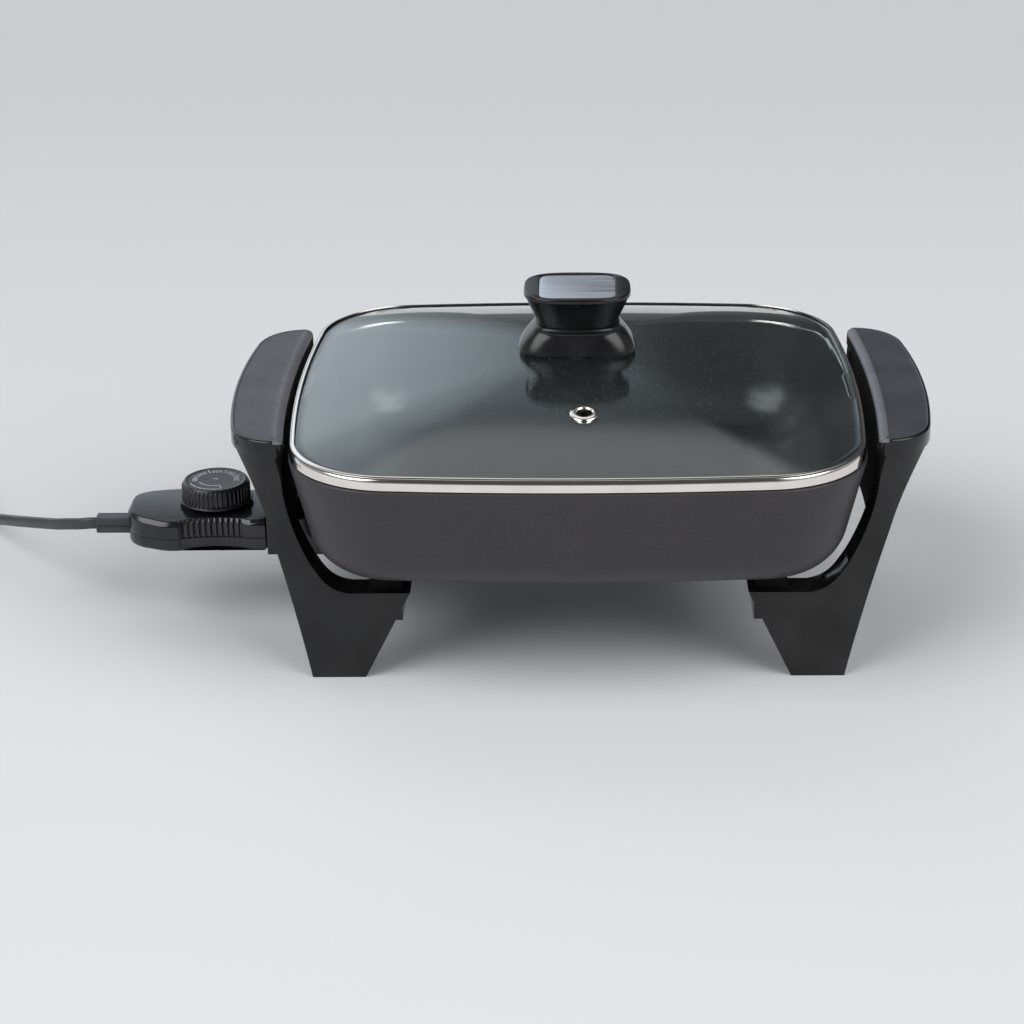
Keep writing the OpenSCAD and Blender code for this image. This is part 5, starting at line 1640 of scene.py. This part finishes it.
    def build_shield(self) -> bpy.types.Object:
        """Builds the wall between the fingers and the pan, from arm to arm."""
        end = self.half_depth - self.arm + 1.5
        low, high = self.shield_low, self.grip_low + 1
        levels = [(0.8, low), (0.25, low + 0.25), (0.0, low + 0.8), (0.0, low + 20), (0.0, high)]
        mesh = Mesher(MM)
        ys = [end * i / 20 for i in range(-20, 21)]
        rings = []
        for inset, z in levels:
            shift = self.lean * (0.55 + 0.45 * (z - low) / (high - low))
            inner = [(self.inner_edge(y) + shift + inset, y, z) for y in ys]
            outer = [(self.inner_edge(y) + shift + self.shield - inset, y, z)
                     for y in reversed(ys)]
            rings.append(inner + outer)
        mesh.loft([ring[::-1] for ring in rings])
        return mesh.build("shield")

    def build_rail(self) -> bpy.types.Object:
        """Builds the rail between the legs with its pads."""
        (x0, x1), (z0, z1) = self.rail_x, self.rail_z
        y = self.half_depth - self.arm + 1
        round_edge = bezier((x0, z0 + 4), (x0, z0 + 1), (x0 + 1, z0), (x0 + 4, z0), 8)
        outline = [(x1, z0), (x1, z1), (x0, z1), *round_edge]
        mesh = Mesher(MM)
        mesh.loft([[(x, v, z) for x, z in outline] for v in (y, -y)])
        half, near, far = self.pad
        mount = self.mount[0]
        pads = [block("pad", mm(mount - half, a, z0 + 4), mm(mount + half, b, self.boss_z))
                for a, b in ((near, far), (-far, -near))]
        return boolean(mesh.build("rail"), pads, "UNION")

    def cuts(self) -> list[bpy.types.Object]:
        """Returns what is taken out: hollow undersides, screw holes and driver wells."""
        (x0, x1), (z0, z1) = self.rail_x, self.rail_z
        wall, near = self.rail_wall, self.pad[1]
        y = self.half_depth - self.arm - 4
        plan = inset_plan(self.plan()[0], self.skin)
        pocket = [(max(x, self.inner + self.skin) + self.lean, max(min(v, y), -y))
                  for x, v in plan]
        mesh = Mesher(MM)
        mesh.loft([[(x, v, z) for x, v in pocket]
                   for z in (self.grip_low - 1, self.top - self.skin)])
        made = [mesh.build("pocket"),
                block("hollow", mm(x0 + wall, -near + 4, z0 - 1),
                      mm(x1 - wall, near - 4, z1 - wall))]
        for v in (-self.mount[1], self.mount[1]):
            made.append(rod(self.mount[0], v, self.hole, -1, self.boss_z + 1))
            made.append(rod(self.mount[0], v, self.well, -2, self.seat_z))
        return made

    def build(self, finishes: Finishes) -> bpy.types.Object:
        """Builds the bracket on its side of the pan."""
        grip = self.build_grip(finishes)
        back = self.build_arm()
        front = self.build_arm()
        front.data.transform(Matrix.Scale(-1, 4, (0, 1, 0)))
        front.data.flip_normals()
        piece = boolean(grip, [back, front, self.build_shield(), self.build_rail()], "UNION")
        piece = boolean(piece, self.cuts(), "DIFFERENCE")
        if self.side < 0:
            piece.data.transform(Matrix.Scale(-1, 4, (1, 0, 0)))
            piece.data.flip_normals()
        name = "right_bracket" if self.side > 0 else "left_bracket"
        piece.name = name.replace("bracket", "handle")
        clean(piece, 2e-6)
        self.dull_inside(piece)
        return dress(piece, Body.BASE,
                     [finishes.gloss, finishes.satin, finishes.matt, finishes.painted_highlight], [name],
                     math.radians(28))

    def dull_inside(self, piece: bpy.types.Object) -> None:
        """Gives the faces that look at the pan their finishes: a lighter grey on the inner bevel,
        which is a painted highlight, and a matt wall.
        """
        for face in piece.data.polygons:
            x, y, z = face.center / MM
            facing = -face.normal.x * self.side
            if (self.rail_z[1] < z < self.boss_z and abs(face.normal.y) > self.pad_facing
                    and self.pad[2] - 1 < abs(y) < self.pad[2] + 1):
                face.material_index = GripSlot.MATT
            inside = self.inner_edge(min(abs(y), self.half_depth - 1)) + self.inner_strip
            if abs(x) > inside or facing < self.least_facing:
                continue
            # The inner bevel gets the lighter grey, a painted highlight.
            if z > self.top - self.bevel_drop - 0.1:
                face.material_index = GripSlot.WORN
            elif (facing > self.wall_facing and z > self.shield_low - 1
                  and face.material_index == GripSlot.GLOSS):
                face.material_index = GripSlot.MATT


@dataclass
class SocketGuard:
    """Collar round the plug end of the control. Millimetres."""

    outer_x: float = 179.6
    step_x: float = 140.0
    rail_x: float = 113.0
    inside_y: float = 23.1
    wall: float = 2.0
    low: float = 44.9
    roof: float = 64.9
    rail_top: float = 51.0
    flange: float = 3.0
    hole_y: float = 27.0
    hole_z: float = 38.0
    hole: float = 1.8
    edge: float = 0.5

    def build(self, finishes: Finishes) -> bpy.types.Object:
        """Builds the collar with its flange."""
        def box(x: tuple[float, float], y: float, z: tuple[float, float]) -> bpy.types.Object:
            """Returns a block that is centred on Y."""
            return block("guard", mm(x[0], -y, z[0]), mm(x[1], y, z[1]))

        out = self.inside_y + self.wall
        piece = box((-self.outer_x, -self.step_x), out, (self.low, self.roof + self.wall))
        piece = boolean(piece, [
            box((-self.step_x - 1, -self.rail_x), out, (self.low, self.rail_top)),
            box((-self.rail_x - self.flange, -self.rail_x), self.hole_y + 6,
                (self.rail_top - 20, self.rail_top))], "UNION")
        inner = box((-self.outer_x - 1, -self.rail_x - self.flange), self.inside_y,
                    (self.low + self.wall, self.roof))
        holes = [bore_along_x(mm(-self.rail_x - 8, y, self.hole_z), *mm(self.hole, 12), 24)
                 for y in (-self.hole_y, self.hole_y)]
        piece = boolean(piece, [inner, *holes], "DIFFERENCE")
        piece = bevel(piece, self.edge * MM, 2)
        piece.name = "socket_collar"
        return dress(piece, Body.BASE, [finishes.leg], ["socket_guard"])


# ---- Temperature control -------------------------------------------------------------


@dataclass
class Control:
    """The plug-in control: two shells, the dial and the strain relief. Millimetres."""

    tail: float = 262.0
    dial_x: float = 211.0
    half: float = 27.0
    waist: float = 22.5
    waist_half: float = 22.0
    shoulder: float = 25.0
    shoulder_x: float = 180.1
    tail_turn: float = 14.0
    low: float = 47.4
    split: float = 54.9
    split_gap: float = 0.05
    edge_z: float = 65.2
    crown: float = 130.0
    wall: float = 2.0
    nose_y: float = 22.6
    nose_x: float = 150.0
    nose_top: float = 64.4
    nose_roof: float = 1.4
    ring: float = 17.5
    ring_wall: float = 1.2
    ring_z: float = 69.6
    bushing: float = 5.2
    pin_y: float = 14.3
    pin_hole: float = 2.9
    probe_hole: float = 3.375
    pin_z: float = 59.0
    flute_span: tuple[float, float] = (-229.0, -193.0)
    flutes: int = 11
    flute_depth: float = 0.8
    relief: tuple[float, float, float] = (20.0, 9.0, 9.6)
    relief_z: float = 54.4
    post: float = 3.2
    well: float = 2.6
    tail_screw: tuple[float, float] = (11.0, 14.0)
    nose_screw: tuple[float, float] = (9.9, 5.6)

    def half_plan(self) -> Plan:
        """Returns one side of the housing's plan from the tail to the nose."""
        y, nose, t = self.half, self.shoulder, self.tail
        waist = (8 * self.waist - y - nose) / 6
        back, front = -self.dial_x - self.waist_half, -self.dial_x + self.waist_half
        turn = self.tail_turn
        return [*bezier((-t, 6), (-t, 12.5), (-t + 3.5, 18), (-t + turn - 3.5, y - 5), 12),
                *bezier((-t + turn, y - 3.8), (-t + turn + 4, y - 2.2), (-t + turn + 8, y),
                        (back - 1.5, y), 10),
                *bezier((back + 2.5, y - 0.2), (back + self.waist_half / 2, waist),
                        (front - self.waist_half / 2, waist), (front, nose), 130),
                (-self.shoulder_x - 0.5, nose), (-self.shoulder_x, nose - 0.5)]

    def crown_z(self, y: float) -> float:
        """Returns the height of the crowned top at a distance from the middle."""
        side = math.sqrt(self.crown ** 2 - self.half ** 2)
        return self.edge_z + math.sqrt(self.crown ** 2 - y * y) - side

    def flute(self, x: float) -> float:
        """Returns the depth of the finger grip's flutes at a place."""
        low, high = self.flute_span
        if not low < x < high:
            return 0.0
        turn = math.tau * self.flutes * (x - low) / (high - low)
        return self.flute_depth * (0.5 - 0.5 * math.cos(turn)) ** 0.8

    def solid(self, name: str, levels: Sequence[tuple[float, float, float]], crowned: bool,
              drop: float = 0.0) -> bpy.types.Object:
        """Builds a closed body on the housing's plan.

        Args:
            name: Name of the object.
            levels: Inset, height and share of the flutes for each ring from below. With a
                crowned top, the heights of the rings above the split count from the crown.
            crowned: Whether the top follows the crown.
            drop: How far the crown is lowered.

        Returns:
            The object.
        """
        half = self.half_plan()
        plan = [(x, -y) for x, y in half] + [(x, y) for x, y in reversed(half)]
        rings = []
        for inset, height, share in levels:
            ring = []
            for (x, y), (u, v) in zip(plan, inset_plan(plan, inset)):
                v -= math.copysign(self.flute(x) * share, v)
                z = self.crown_z(v) - drop + height if crowned and height <= 0 else height
                ring.append((u, v, z))
            rings.append(ring)
        mesh = Mesher(MM)
        made = [mesh.ring(r) for r in rings]
        mesh.face(made[0][::-1])
        for low, high in zip(made, made[1:]):
            mesh.bridge(low, high)
        if not crowned:
            mesh.face(made[-1])
            return mesh.build(name)
        across, count = 14, len(half)
        edge = made[-1]
        rows = []
        for i in range(count):
            near, far = edge[i], edge[2 * count - 1 - i]
            x, y = mesh.points[near][0], mesh.points[near][1]
            between_ids = mesh.ring([(x, y * (1 - 2 * k / across),
                                      self.crown_z(y * (1 - 2 * k / across)) - drop
                                      + levels[-1][1]) for k in range(1, across)])
            rows.append([near, *between_ids, far])
        for a, b in zip(rows, rows[1:]):
            mesh.bridge(a, b, closed=False)
        return mesh.build(name)

    def nose(self, inset: float, low: float, high: float) -> bpy.types.Object:
        """Returns the block of the plug end."""
        y = self.nose_y - inset
        return block("nose", mm(-self.shoulder_x - 2 - inset, -y, low),
                     mm(-self.nose_x - inset, y, high))

    def end_holes(self) -> list[bpy.types.Object]:
        """Returns the cuts for the pins and the probe in the plug end."""
        return [bore_along_x(mm(-self.nose_x - 4, y, self.pin_z), *mm(radius, 6))
                for y, radius in ((-self.pin_y, self.pin_hole), (0, self.probe_hole),
                                  (self.pin_y, self.pin_hole))]

    def at_screws(self, low: float, high: float, radius: float,
                  sides: tuple[int, int] = (-1, 1)) -> list[bpy.types.Object]:
        """Returns a cylinder at each screw.

        Args:
            low: Height of its lower end.
            high: Height of its upper end.
            radius: Radius of a post, or of the well that is cut for a head.
            sides: Which side of the middle comes first.
        """
        places = ((self.tail - self.tail_screw[0], self.tail_screw[1]),
                  (self.shoulder_x + self.nose_screw[0], self.shoulder - self.nose_screw[1]))
        return [rod(-x, side * y, radius, low, high, 24) for x, y in places for side in sides]

    def slot(self) -> bpy.types.Object:
        """Returns the cut that holds the strain relief's neck."""
        return block("slot", mm(-self.tail - 1, -3.2, self.relief_z - 3),
                     mm(-self.tail + self.wall + 1, 3.2, self.relief_z + 3))

    def build_upper(self, finishes: Finishes) -> bpy.types.Object:
        """Builds the upper shell with the flutes and the dial's ring."""
        base = self.split + self.split_gap
        levels = [(0.3, base, 1), (0.08, base + 0.1, 1), (0.0, base + 0.35, 1),
                  (0.0, base + 3, 1), (0.0, base + 6, 1), (0.0, -3.0, 1), (0.05, -2.6, 1),
                  (0.25, -2.2, 0.9), (0.6, -1.7, 0.7), (1.0, -1.15, 0.5), (1.3, -0.7, 0.35),
                  (1.6, -0.35, 0.2), (2.0, -0.1, 0.08), (2.6, 0.0, 0)]
        piece = self.solid("control_upper", levels, True)
        ring = rod(-self.dial_x, 0, self.ring, self.edge_z - 3, self.ring_z, 96)
        piece = boolean(piece, [ring, self.nose(0, base, self.nose_top)], "UNION")
        hollow = self.solid("hollow", [(self.wall, base - 1, 0), (self.wall, base + 4, 0),
                                       (self.wall, -1.2, 0), (self.wall + 0.8, 0.0, 0)], True,
                            self.wall)
        recess = rod(-self.dial_x, 0, self.ring - self.ring_wall, self.crown_z(0) + 0.6,
                     self.ring_z + 1, 96)
        hole = rod(-self.dial_x, 0, self.bushing, self.edge_z - 6, self.ring_z + 1)
        piece = boolean(piece, [hollow, self.nose(self.wall, base - 1, self.nose_top
                                                  - self.nose_roof), recess, hole, self.slot(),
                                *self.end_holes()], "DIFFERENCE")
        piece = boolean(piece, self.at_screws(base, self.edge_z, self.post), "UNION")
        piece.name = "control_upper"
        clean(piece, 2e-6)
        return dress(piece, Body.CONTROL, [finishes.housing],
                     ["control_upper_housing"], math.radians(35))

    def build_lower(self, finishes: Finishes) -> bpy.types.Object:
        """Builds the lower shell."""
        levels = [(2.2, self.low, 0), (1.3, self.low + 0.12, 0), (0.6, self.low + 0.5, 0),
                  (0.15, self.low + 1.2, 0), (0.0, self.low + 2, 0), (0.0, self.split - 0.35, 0),
                  (0.08, self.split - 0.1, 0), (0.3, self.split, 0)]
        piece = self.solid("control_lower", levels, False)
        piece = boolean(piece, [self.nose(0, self.low + 0.6, self.split)], "UNION")
        hollow = self.solid("hollow", [(self.wall + 0.6, self.low + self.wall, 0),
                                       (self.wall, self.low + self.wall + 0.8, 0),
                                       (self.wall, self.split + 1, 0)], False)
        piece = boolean(piece, [hollow, self.nose(self.wall, self.low + self.wall,
                                                  self.split + 1), self.slot(),
                                *self.end_holes()], "DIFFERENCE")
        piece = boolean(piece, self.at_screws(self.low + 1.5, self.split, self.post), "UNION")
        wells = self.at_screws(self.low - 1, self.low + 4, self.well, (1, -1))
        piece = boolean(piece, wells, "DIFFERENCE")
        piece.name = "control_lower"
        clean(piece, 2e-6)
        return dress(piece, Body.CONTROL, [finishes.housing],
                     ["control_lower_housing"], math.radians(35))

    def build_relief(self, finishes: Finishes) -> bpy.types.Object:
        """Builds the strain relief: a block with a groove along each side."""
        length, depth, height = self.relief
        y, z = depth / 2, height / 2
        outline = [(-y + 0.8, -z), (y - 0.8, -z), (y, -z + 0.8), (y, -0.9), (y - 0.7, -0.5),
                   (y - 0.7, 0.5), (y, 0.9), (y, z - 0.8), (y - 0.8, z), (-y + 0.8, z),
                   (-y, z - 0.8), (-y, 0.9), (-y + 0.7, 0.5), (-y + 0.7, -0.5), (-y, -0.9),
                   (-y, -z + 0.8)]
        x0, x1 = -self.tail - length, -self.tail + self.wall
        mesh = Mesher(MM)
        rings = [[(x, u * share, self.relief_z + v * share) for u, v in outline]
                 for x, share in ((x0, 0.9), (x0 + 0.5, 1.0), (x0 + length * 0.5, 1.0),
                                  (-self.tail - 0.05, 1.0), (-self.tail, 0.65), (x1, 0.65))]
        rings.append([(x1, u * 1.2, self.relief_z + v * 0.8) for u, v in outline])
        rings.append([(x1 + 2, u * 1.2, self.relief_z + v * 0.8) for u, v in outline])
        mesh.loft(rings)
        return dress(mesh.build("relief_block"), Body.CONTROL, [finishes.vinyl],
                     ["strain_relief"])


@dataclass
class Dial:
    """The ribbed dial with its flange and printed scale. Millimetres."""

    x: float = 211.0
    low: float = 70.0
    height: float = 12.0
    radius: float = 19.8
    flange: tuple[float, float] = (21.3, 1.3)
    chamfer: float = 2.4
    ribs: int = 44
    rib_depth: float = 0.5
    skin: float = 2.0
    hub: float = 5.0
    shaft: float = 3.05
    scale_radius: float = 15.6
    sweep: float = 240.0
    warm_zone: tuple[float, float] = (200.0, 292.0)
    line_width: float = 0.6
    numbers: tuple[str, ...] = ("200", "250", "300", "350", "400")
    number_size: float = 4.4
    print_height: float = 0.06
    print_sink: float = 0.02
    number_inset: float = 3.4
    number_lead: float = 0.8
    scale_rest: float = 0.5
    tick: tuple[float, float] = (5.2, 0.6)
    tick_turn: float = 2.4
    zone: tuple[float, float] = (6.2, 0.3)
    zone_end: float = 2.6
    pip: tuple[float, float] = (0.8, 1.5)
    face_drop: float = 0.3

    @property
    def top(self) -> float:
        """Height of the dial's rim."""
        return self.low + self.height

    def body(self) -> bpy.types.Object:
        """Returns the turned body with the hollow underside."""
        face = self.radius - self.rib_depth - 0.2
        flange, thick = self.flange
        low, top, skin = self.low, self.top, self.skin
        profile = [(face - skin, low), (flange - 0.3, low), (flange, low + 0.3),
                   (flange, low + thick - 0.35), (flange - 0.35, low + thick),
                   (face + 0.3, low + thick), (face, low + thick + 0.3),
                   (face, top - self.chamfer), (face - 0.35, top - 0.9), (face - 0.7, top - 0.35),
                   (face - 1.3, top - 0.05), (face - 2.0, top), (face - 2.6, top - 0.25),
                   (face - 3.4, top - 0.3), (0.4, top - 0.3)]
        inner = [(0.4, top - skin - 0.5), (self.shaft, top - skin - 0.5), (self.shaft, low),
                 (self.hub, low), (self.hub, top - skin), (face - skin, top - skin)]
        return lathe("dial_body", [(r * MM, z * MM) for r, z in profile + inner],
                     (-self.x * MM, 0, 0), 132)

    def rib(self) -> bpy.types.Object:
        """Returns one rib, standing at the dial's side on +X."""
        face = self.radius - self.rib_depth - 0.2
        half = math.pi * face / self.ribs * 0.62
        mesh = Mesher(MM)
        rings = []
        heights = ((self.low + self.flange[1] - 0.2, 1.0), (self.top - self.chamfer - 0.2, 1.0),
                   (self.top - self.chamfer + 0.5, 0.55), (self.top - self.chamfer + 1.0, 0.0))
        for z, share in heights:
            ring = []
            for i in range(9):
                a = math.pi * (i / 8 - 0.5)
                ring.append((face - 0.2 + (self.rib_depth + 0.4) * math.cos(a) * share,
                             half * math.sin(a), z))
            ring.append((face - 0.7, half, z))
            ring.append((face - 0.7, -half, z))
            rings.append(ring)
        mesh.loft(rings)
        return mesh.build("rib")

    def build_ribs(self, finishes: Finishes) -> bpy.types.Object:
        """Returns the ring of ribs, set out by Geometry Nodes."""
        recipe = Recipe("set_out_ribs", {"Rib": ("NodeSocketObject", None),
                                         "Count": ("NodeSocketInt", 44),
                                         "Material": ("NodeSocketMaterial", None)})
        circle = recipe.node("GeometryNodeMeshLine", {"Count": recipe.input("Count"),
                                                      "Offset": (0, 0, 0)})
        index = recipe.node("GeometryNodeInputIndex").outputs[0]
        turn = recipe.math("MULTIPLY", recipe.math("DIVIDE", index, recipe.input("Count")),
                           math.tau)
        rotation = recipe.node("ShaderNodeCombineXYZ", {"Z": turn})
        info = recipe.node("GeometryNodeObjectInfo", {"Object": recipe.input("Rib")})
        made = recipe.node("GeometryNodeInstanceOnPoints", {
            "Points": circle.outputs[0], "Instance": info.outputs["Geometry"],
            "Rotation": rotation.outputs[0]})
        recipe.finish(made.outputs[0])
        rib = self.rib()
        ribs = recipe.bake(carrier_mesh("ribs", [(0, 0, 0)]), {
            "Rib": rib, "Count": self.ribs, "Material": finishes.dial})
        bpy.data.objects.remove(rib)
        ribs.data.transform(Matrix.Translation((-self.x * MM, 0, 0)))
        return ribs

    def arc(self, radius: tuple[float, float], start: float, end: float,
            taper: float = 1.0) -> bpy.types.Object:
        """Returns a raised printed arc.

        Args:
            radius: Inner and outer radius.
            start: First angle in degrees.
            end: Last angle in degrees.
            taper: Share of the width that is left at the start.
        """
        low = self.top - self.face_drop - self.print_sink
        high = low + self.print_sink + self.print_height
        steps = max(2, int(abs(end - start) / 4))
        mesh = Mesher(MM)
        rings = []
        middle = sum(radius) / 2
        for i in range(steps + 1):
            a = math.radians(start + (end - start) * i / steps)
            width = (radius[1] - radius[0]) / 2 * (taper + (1 - taper) * i / steps)
            rings.append([(-self.x + r * math.cos(a), r * math.sin(a), z)
                          for r, z in ((middle - width, low), (middle + width, low),
                                       (middle + width, high), (middle - width, high))])
        mesh.loft(rings)
        return mesh.build("arc")

    def numeral(self, text: str, angle: float, radius: float) -> bpy.types.Object:
        """Returns a printed number that reads from the rim."""
        curve = bpy.data.curves.new("numeral", "FONT")
        curve.body = text
        curve.size = self.number_size * MM
        curve.align_x = "CENTER"
        curve.align_y = "CENTER"
        curve.extrude = self.print_height / 2 * MM
        made = flatten(linked("numeral", curve))
        turn = math.radians(angle)
        place = Vector((-self.x + radius * math.cos(turn), radius * math.sin(turn),
                        self.top - self.face_drop + self.print_height / 2)) * MM
        made.data.transform(Matrix.Translation(place)
                            @ Matrix.Rotation(turn + math.pi / 2, 4, "Z"))
        return made

    def build(self, finishes: Finishes) -> bpy.types.Object:
        """Builds the dial with its print."""
        prints = []
        first = -90.0 + (360 - self.sweep) / 2
        step = self.sweep / (len(self.numbers) + self.scale_rest)
        ticks = (self.scale_radius - self.tick[0], self.scale_radius - self.tick[1])
        for i, text in enumerate(self.numbers):
            angle = first + step * (i + self.number_lead)
            prints.append(self.numeral(text, angle, self.scale_radius - self.number_inset))
            line = angle + step / 2 - self.tick_turn / 2
            prints.append(self.arc(ticks, line, line + self.tick_turn))
        inner, outer = self.scale_radius - self.zone[0], self.scale_radius - self.zone[1]
        start, end = self.warm_zone
        prints += [self.arc((r, r + self.line_width), start, end)
                   for r in (inner, outer - self.line_width)]
        prints += [self.arc((inner, outer), a, a + self.zone_end)
                   for a in (start, end - self.zone_end)]
        prints.append(self.arc(self.pip, 0, 180))
        piece = join("dial_knob", [(self.body(), 0), (self.build_ribs(finishes), 0),
                                   *((p, 1) for p in prints)])
        return dress(piece, Body.DIAL, [finishes.dial, finishes.print],
                     ["control_dial"], math.radians(38))


# ---- Fasteners and the inner pieces of the frame -------------------------------------


@dataclass(frozen=True)
class ScrewSet:
    """Screws of one size, with their places and the way that they point. Millimetres."""

    name: str
    node: str
    body: Body
    places: tuple[tuple[float, float, float], ...]
    shank: float
    length: float
    head: float
    head_height: float
    turn: tuple[float, float, float] = (0.0, 0.0, 0.0)

    def item(self) -> bpy.types.Object:
        """Returns one screw with its head below the origin and its shank along +Z."""
        r, h, head = self.shank, self.head_height, self.head
        profile = [(0, -h), (head * 0.55, -h), (head * 0.85, -h * 0.82), (head, -h * 0.45),
                   (head, -0.02), (r, 0.0)]
        pitch = max(0.8, r * 0.4)
        turns = int((self.length - 1) / pitch)
        for i in range(turns):
            z = 0.6 + pitch * i
            profile += [(r * 0.86, z), (r, z + pitch / 2)]
        profile += [(r * 0.8, self.length - 0.2), (0, self.length)]
        piece = lathe("screw", [(a * MM, b * MM) for a, b in profile], steps=32)
        cross = [block("cross", mm(-a, -b, -(h + 0.5)), mm(a, b, -h * 0.4))
                 for a, b in ((head * 0.62, head * 0.12), (head * 0.12, head * 0.62))]
        return boolean(piece, cross, "DIFFERENCE")

    def build(self, recipe: Recipe, finish: bpy.types.Material) -> bpy.types.Object:
        """Sets the screws out on their places."""
        item = self.item()
        points = carrier_mesh(self.name, [mm(*p) for p in self.places])
        piece = recipe.bake(points, {"Item": item, "Turn": self.turn, "Material": finish})
        bpy.data.objects.remove(item)
        return dress(piece, self.body, [finish], [self.node])


def instance_recipe() -> Recipe:
    """Returns the Geometry Nodes tree that sets an item on each point."""
    recipe = Recipe("set_on_points", {"Item": ("NodeSocketObject", None),
                                      "Turn": ("NodeSocketVector", (0, 0, 0)),
                                      "Material": ("NodeSocketMaterial", None)})
    info = recipe.node("GeometryNodeObjectInfo", {"Object": recipe.input("Item")})
    made = recipe.node("GeometryNodeInstanceOnPoints", {
        "Points": recipe.input("Geometry"), "Instance": info.outputs["Geometry"],
        "Rotation": recipe.input("Turn")})
    recipe.finish(made.outputs[0])
    return recipe


class Fasteners:
    """Every visible screw."""

    def build(self, finishes: Finishes) -> None:
        """Builds the three sets of screws."""
        recipe = instance_recipe()
        quarter = math.pi / 2
        sets = (
            ScrewSet("leg_screws", "bracket_screws", Body.BASE,
                     tuple((x, y, 43) for x in (-107, 107) for y in (-78, 78)), 2.5, 22, 4.75, 3),
            ScrewSet("collar_screws", "guard_screws", Body.BASE,
                     tuple((-116, y, 38) for y in (-27, 27)), 1.75, 10, 3.5, 2,
                     (0.0, quarter, 0.0)),
            ScrewSet("case_screws", "housing_screws", Body.CONTROL,
                     tuple((x, y, 51.4) for x, v in ((-251, 14), (-190, 19.4)) for y in (-v, v)),
                     1.25, 9, 2.4, 2),
        )
        for screws in sets:
            screws.build(recipe, finishes.zinc)


def dress_frame(finishes: Finishes) -> None:
    """Gives the frame's own pieces, most of them inside, their materials."""
    looks = {
        "heating_element": finishes.sheath, "element_insulators": finishes.ceramic,
        "element_terminal_pins": finishes.nickel, "bracket_washers": finishes.zinc,
        "knob_gasket": finishes.silicone, "knob_washer": finishes.zinc,
        "knob_screw": finishes.zinc, "terminal_block": finishes.insulator,
        "socket_terminals": finishes.brass, "probe_tube": finishes.nickel,
        "probe_rod": finishes.bronze, "thermostat_frame": finishes.zinc,
        "contact_leaves": finishes.bronze, "leaf_spacers": finishes.ceramic,
        "stack_rivet": finishes.zinc, "internal_leads": finishes.sleeving,
        "dial_shaft": finishes.zinc, "cord_tie": finishes.tie, "plug": finishes.vinyl,
        "plug_blades": finishes.brass,
    }
    for node, finish in looks.items():
        paint(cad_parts[node], [finish])
    log.info("frame: %d nodes keep their own mesh", len(looks))


def main() -> None:
    """Builds the scene in order and reports each piece."""
    logging.basicConfig(level=logging.INFO, format="%(name)s: %(message)s")
    studio = Studio()
    studio.camera()
    finishes = Finishes()
    Cord().build(finishes)
    studio.build()
    pan = Pan()
    pan.build_shell(finishes)
    pan.build_underside(finishes)
    lid = Lid()
    lid.build_glass(finishes)
    lid.build_band(finishes)
    lid.build_vent(finishes)
    arc = pan.outline.side_radius() / MM
    for side in (1, -1):
        Bracket(side, pan_arc=arc).build(finishes)
    SocketGuard().build(finishes)
    control = Control()
    control.build_upper(finishes)
    control.build_lower(finishes)
    control.build_relief(finishes)
    Dial().build(finishes)
    Fasteners().build(finishes)
    dress_frame(finishes)
    knob = Knob(base_z=lid.dome_z(0.1) + 1 * MM)
    knob.build_base(finishes)
    knob.build_grip(finishes)
    knob.build_plate(finishes)


if __name__ == "__main__":
    main()
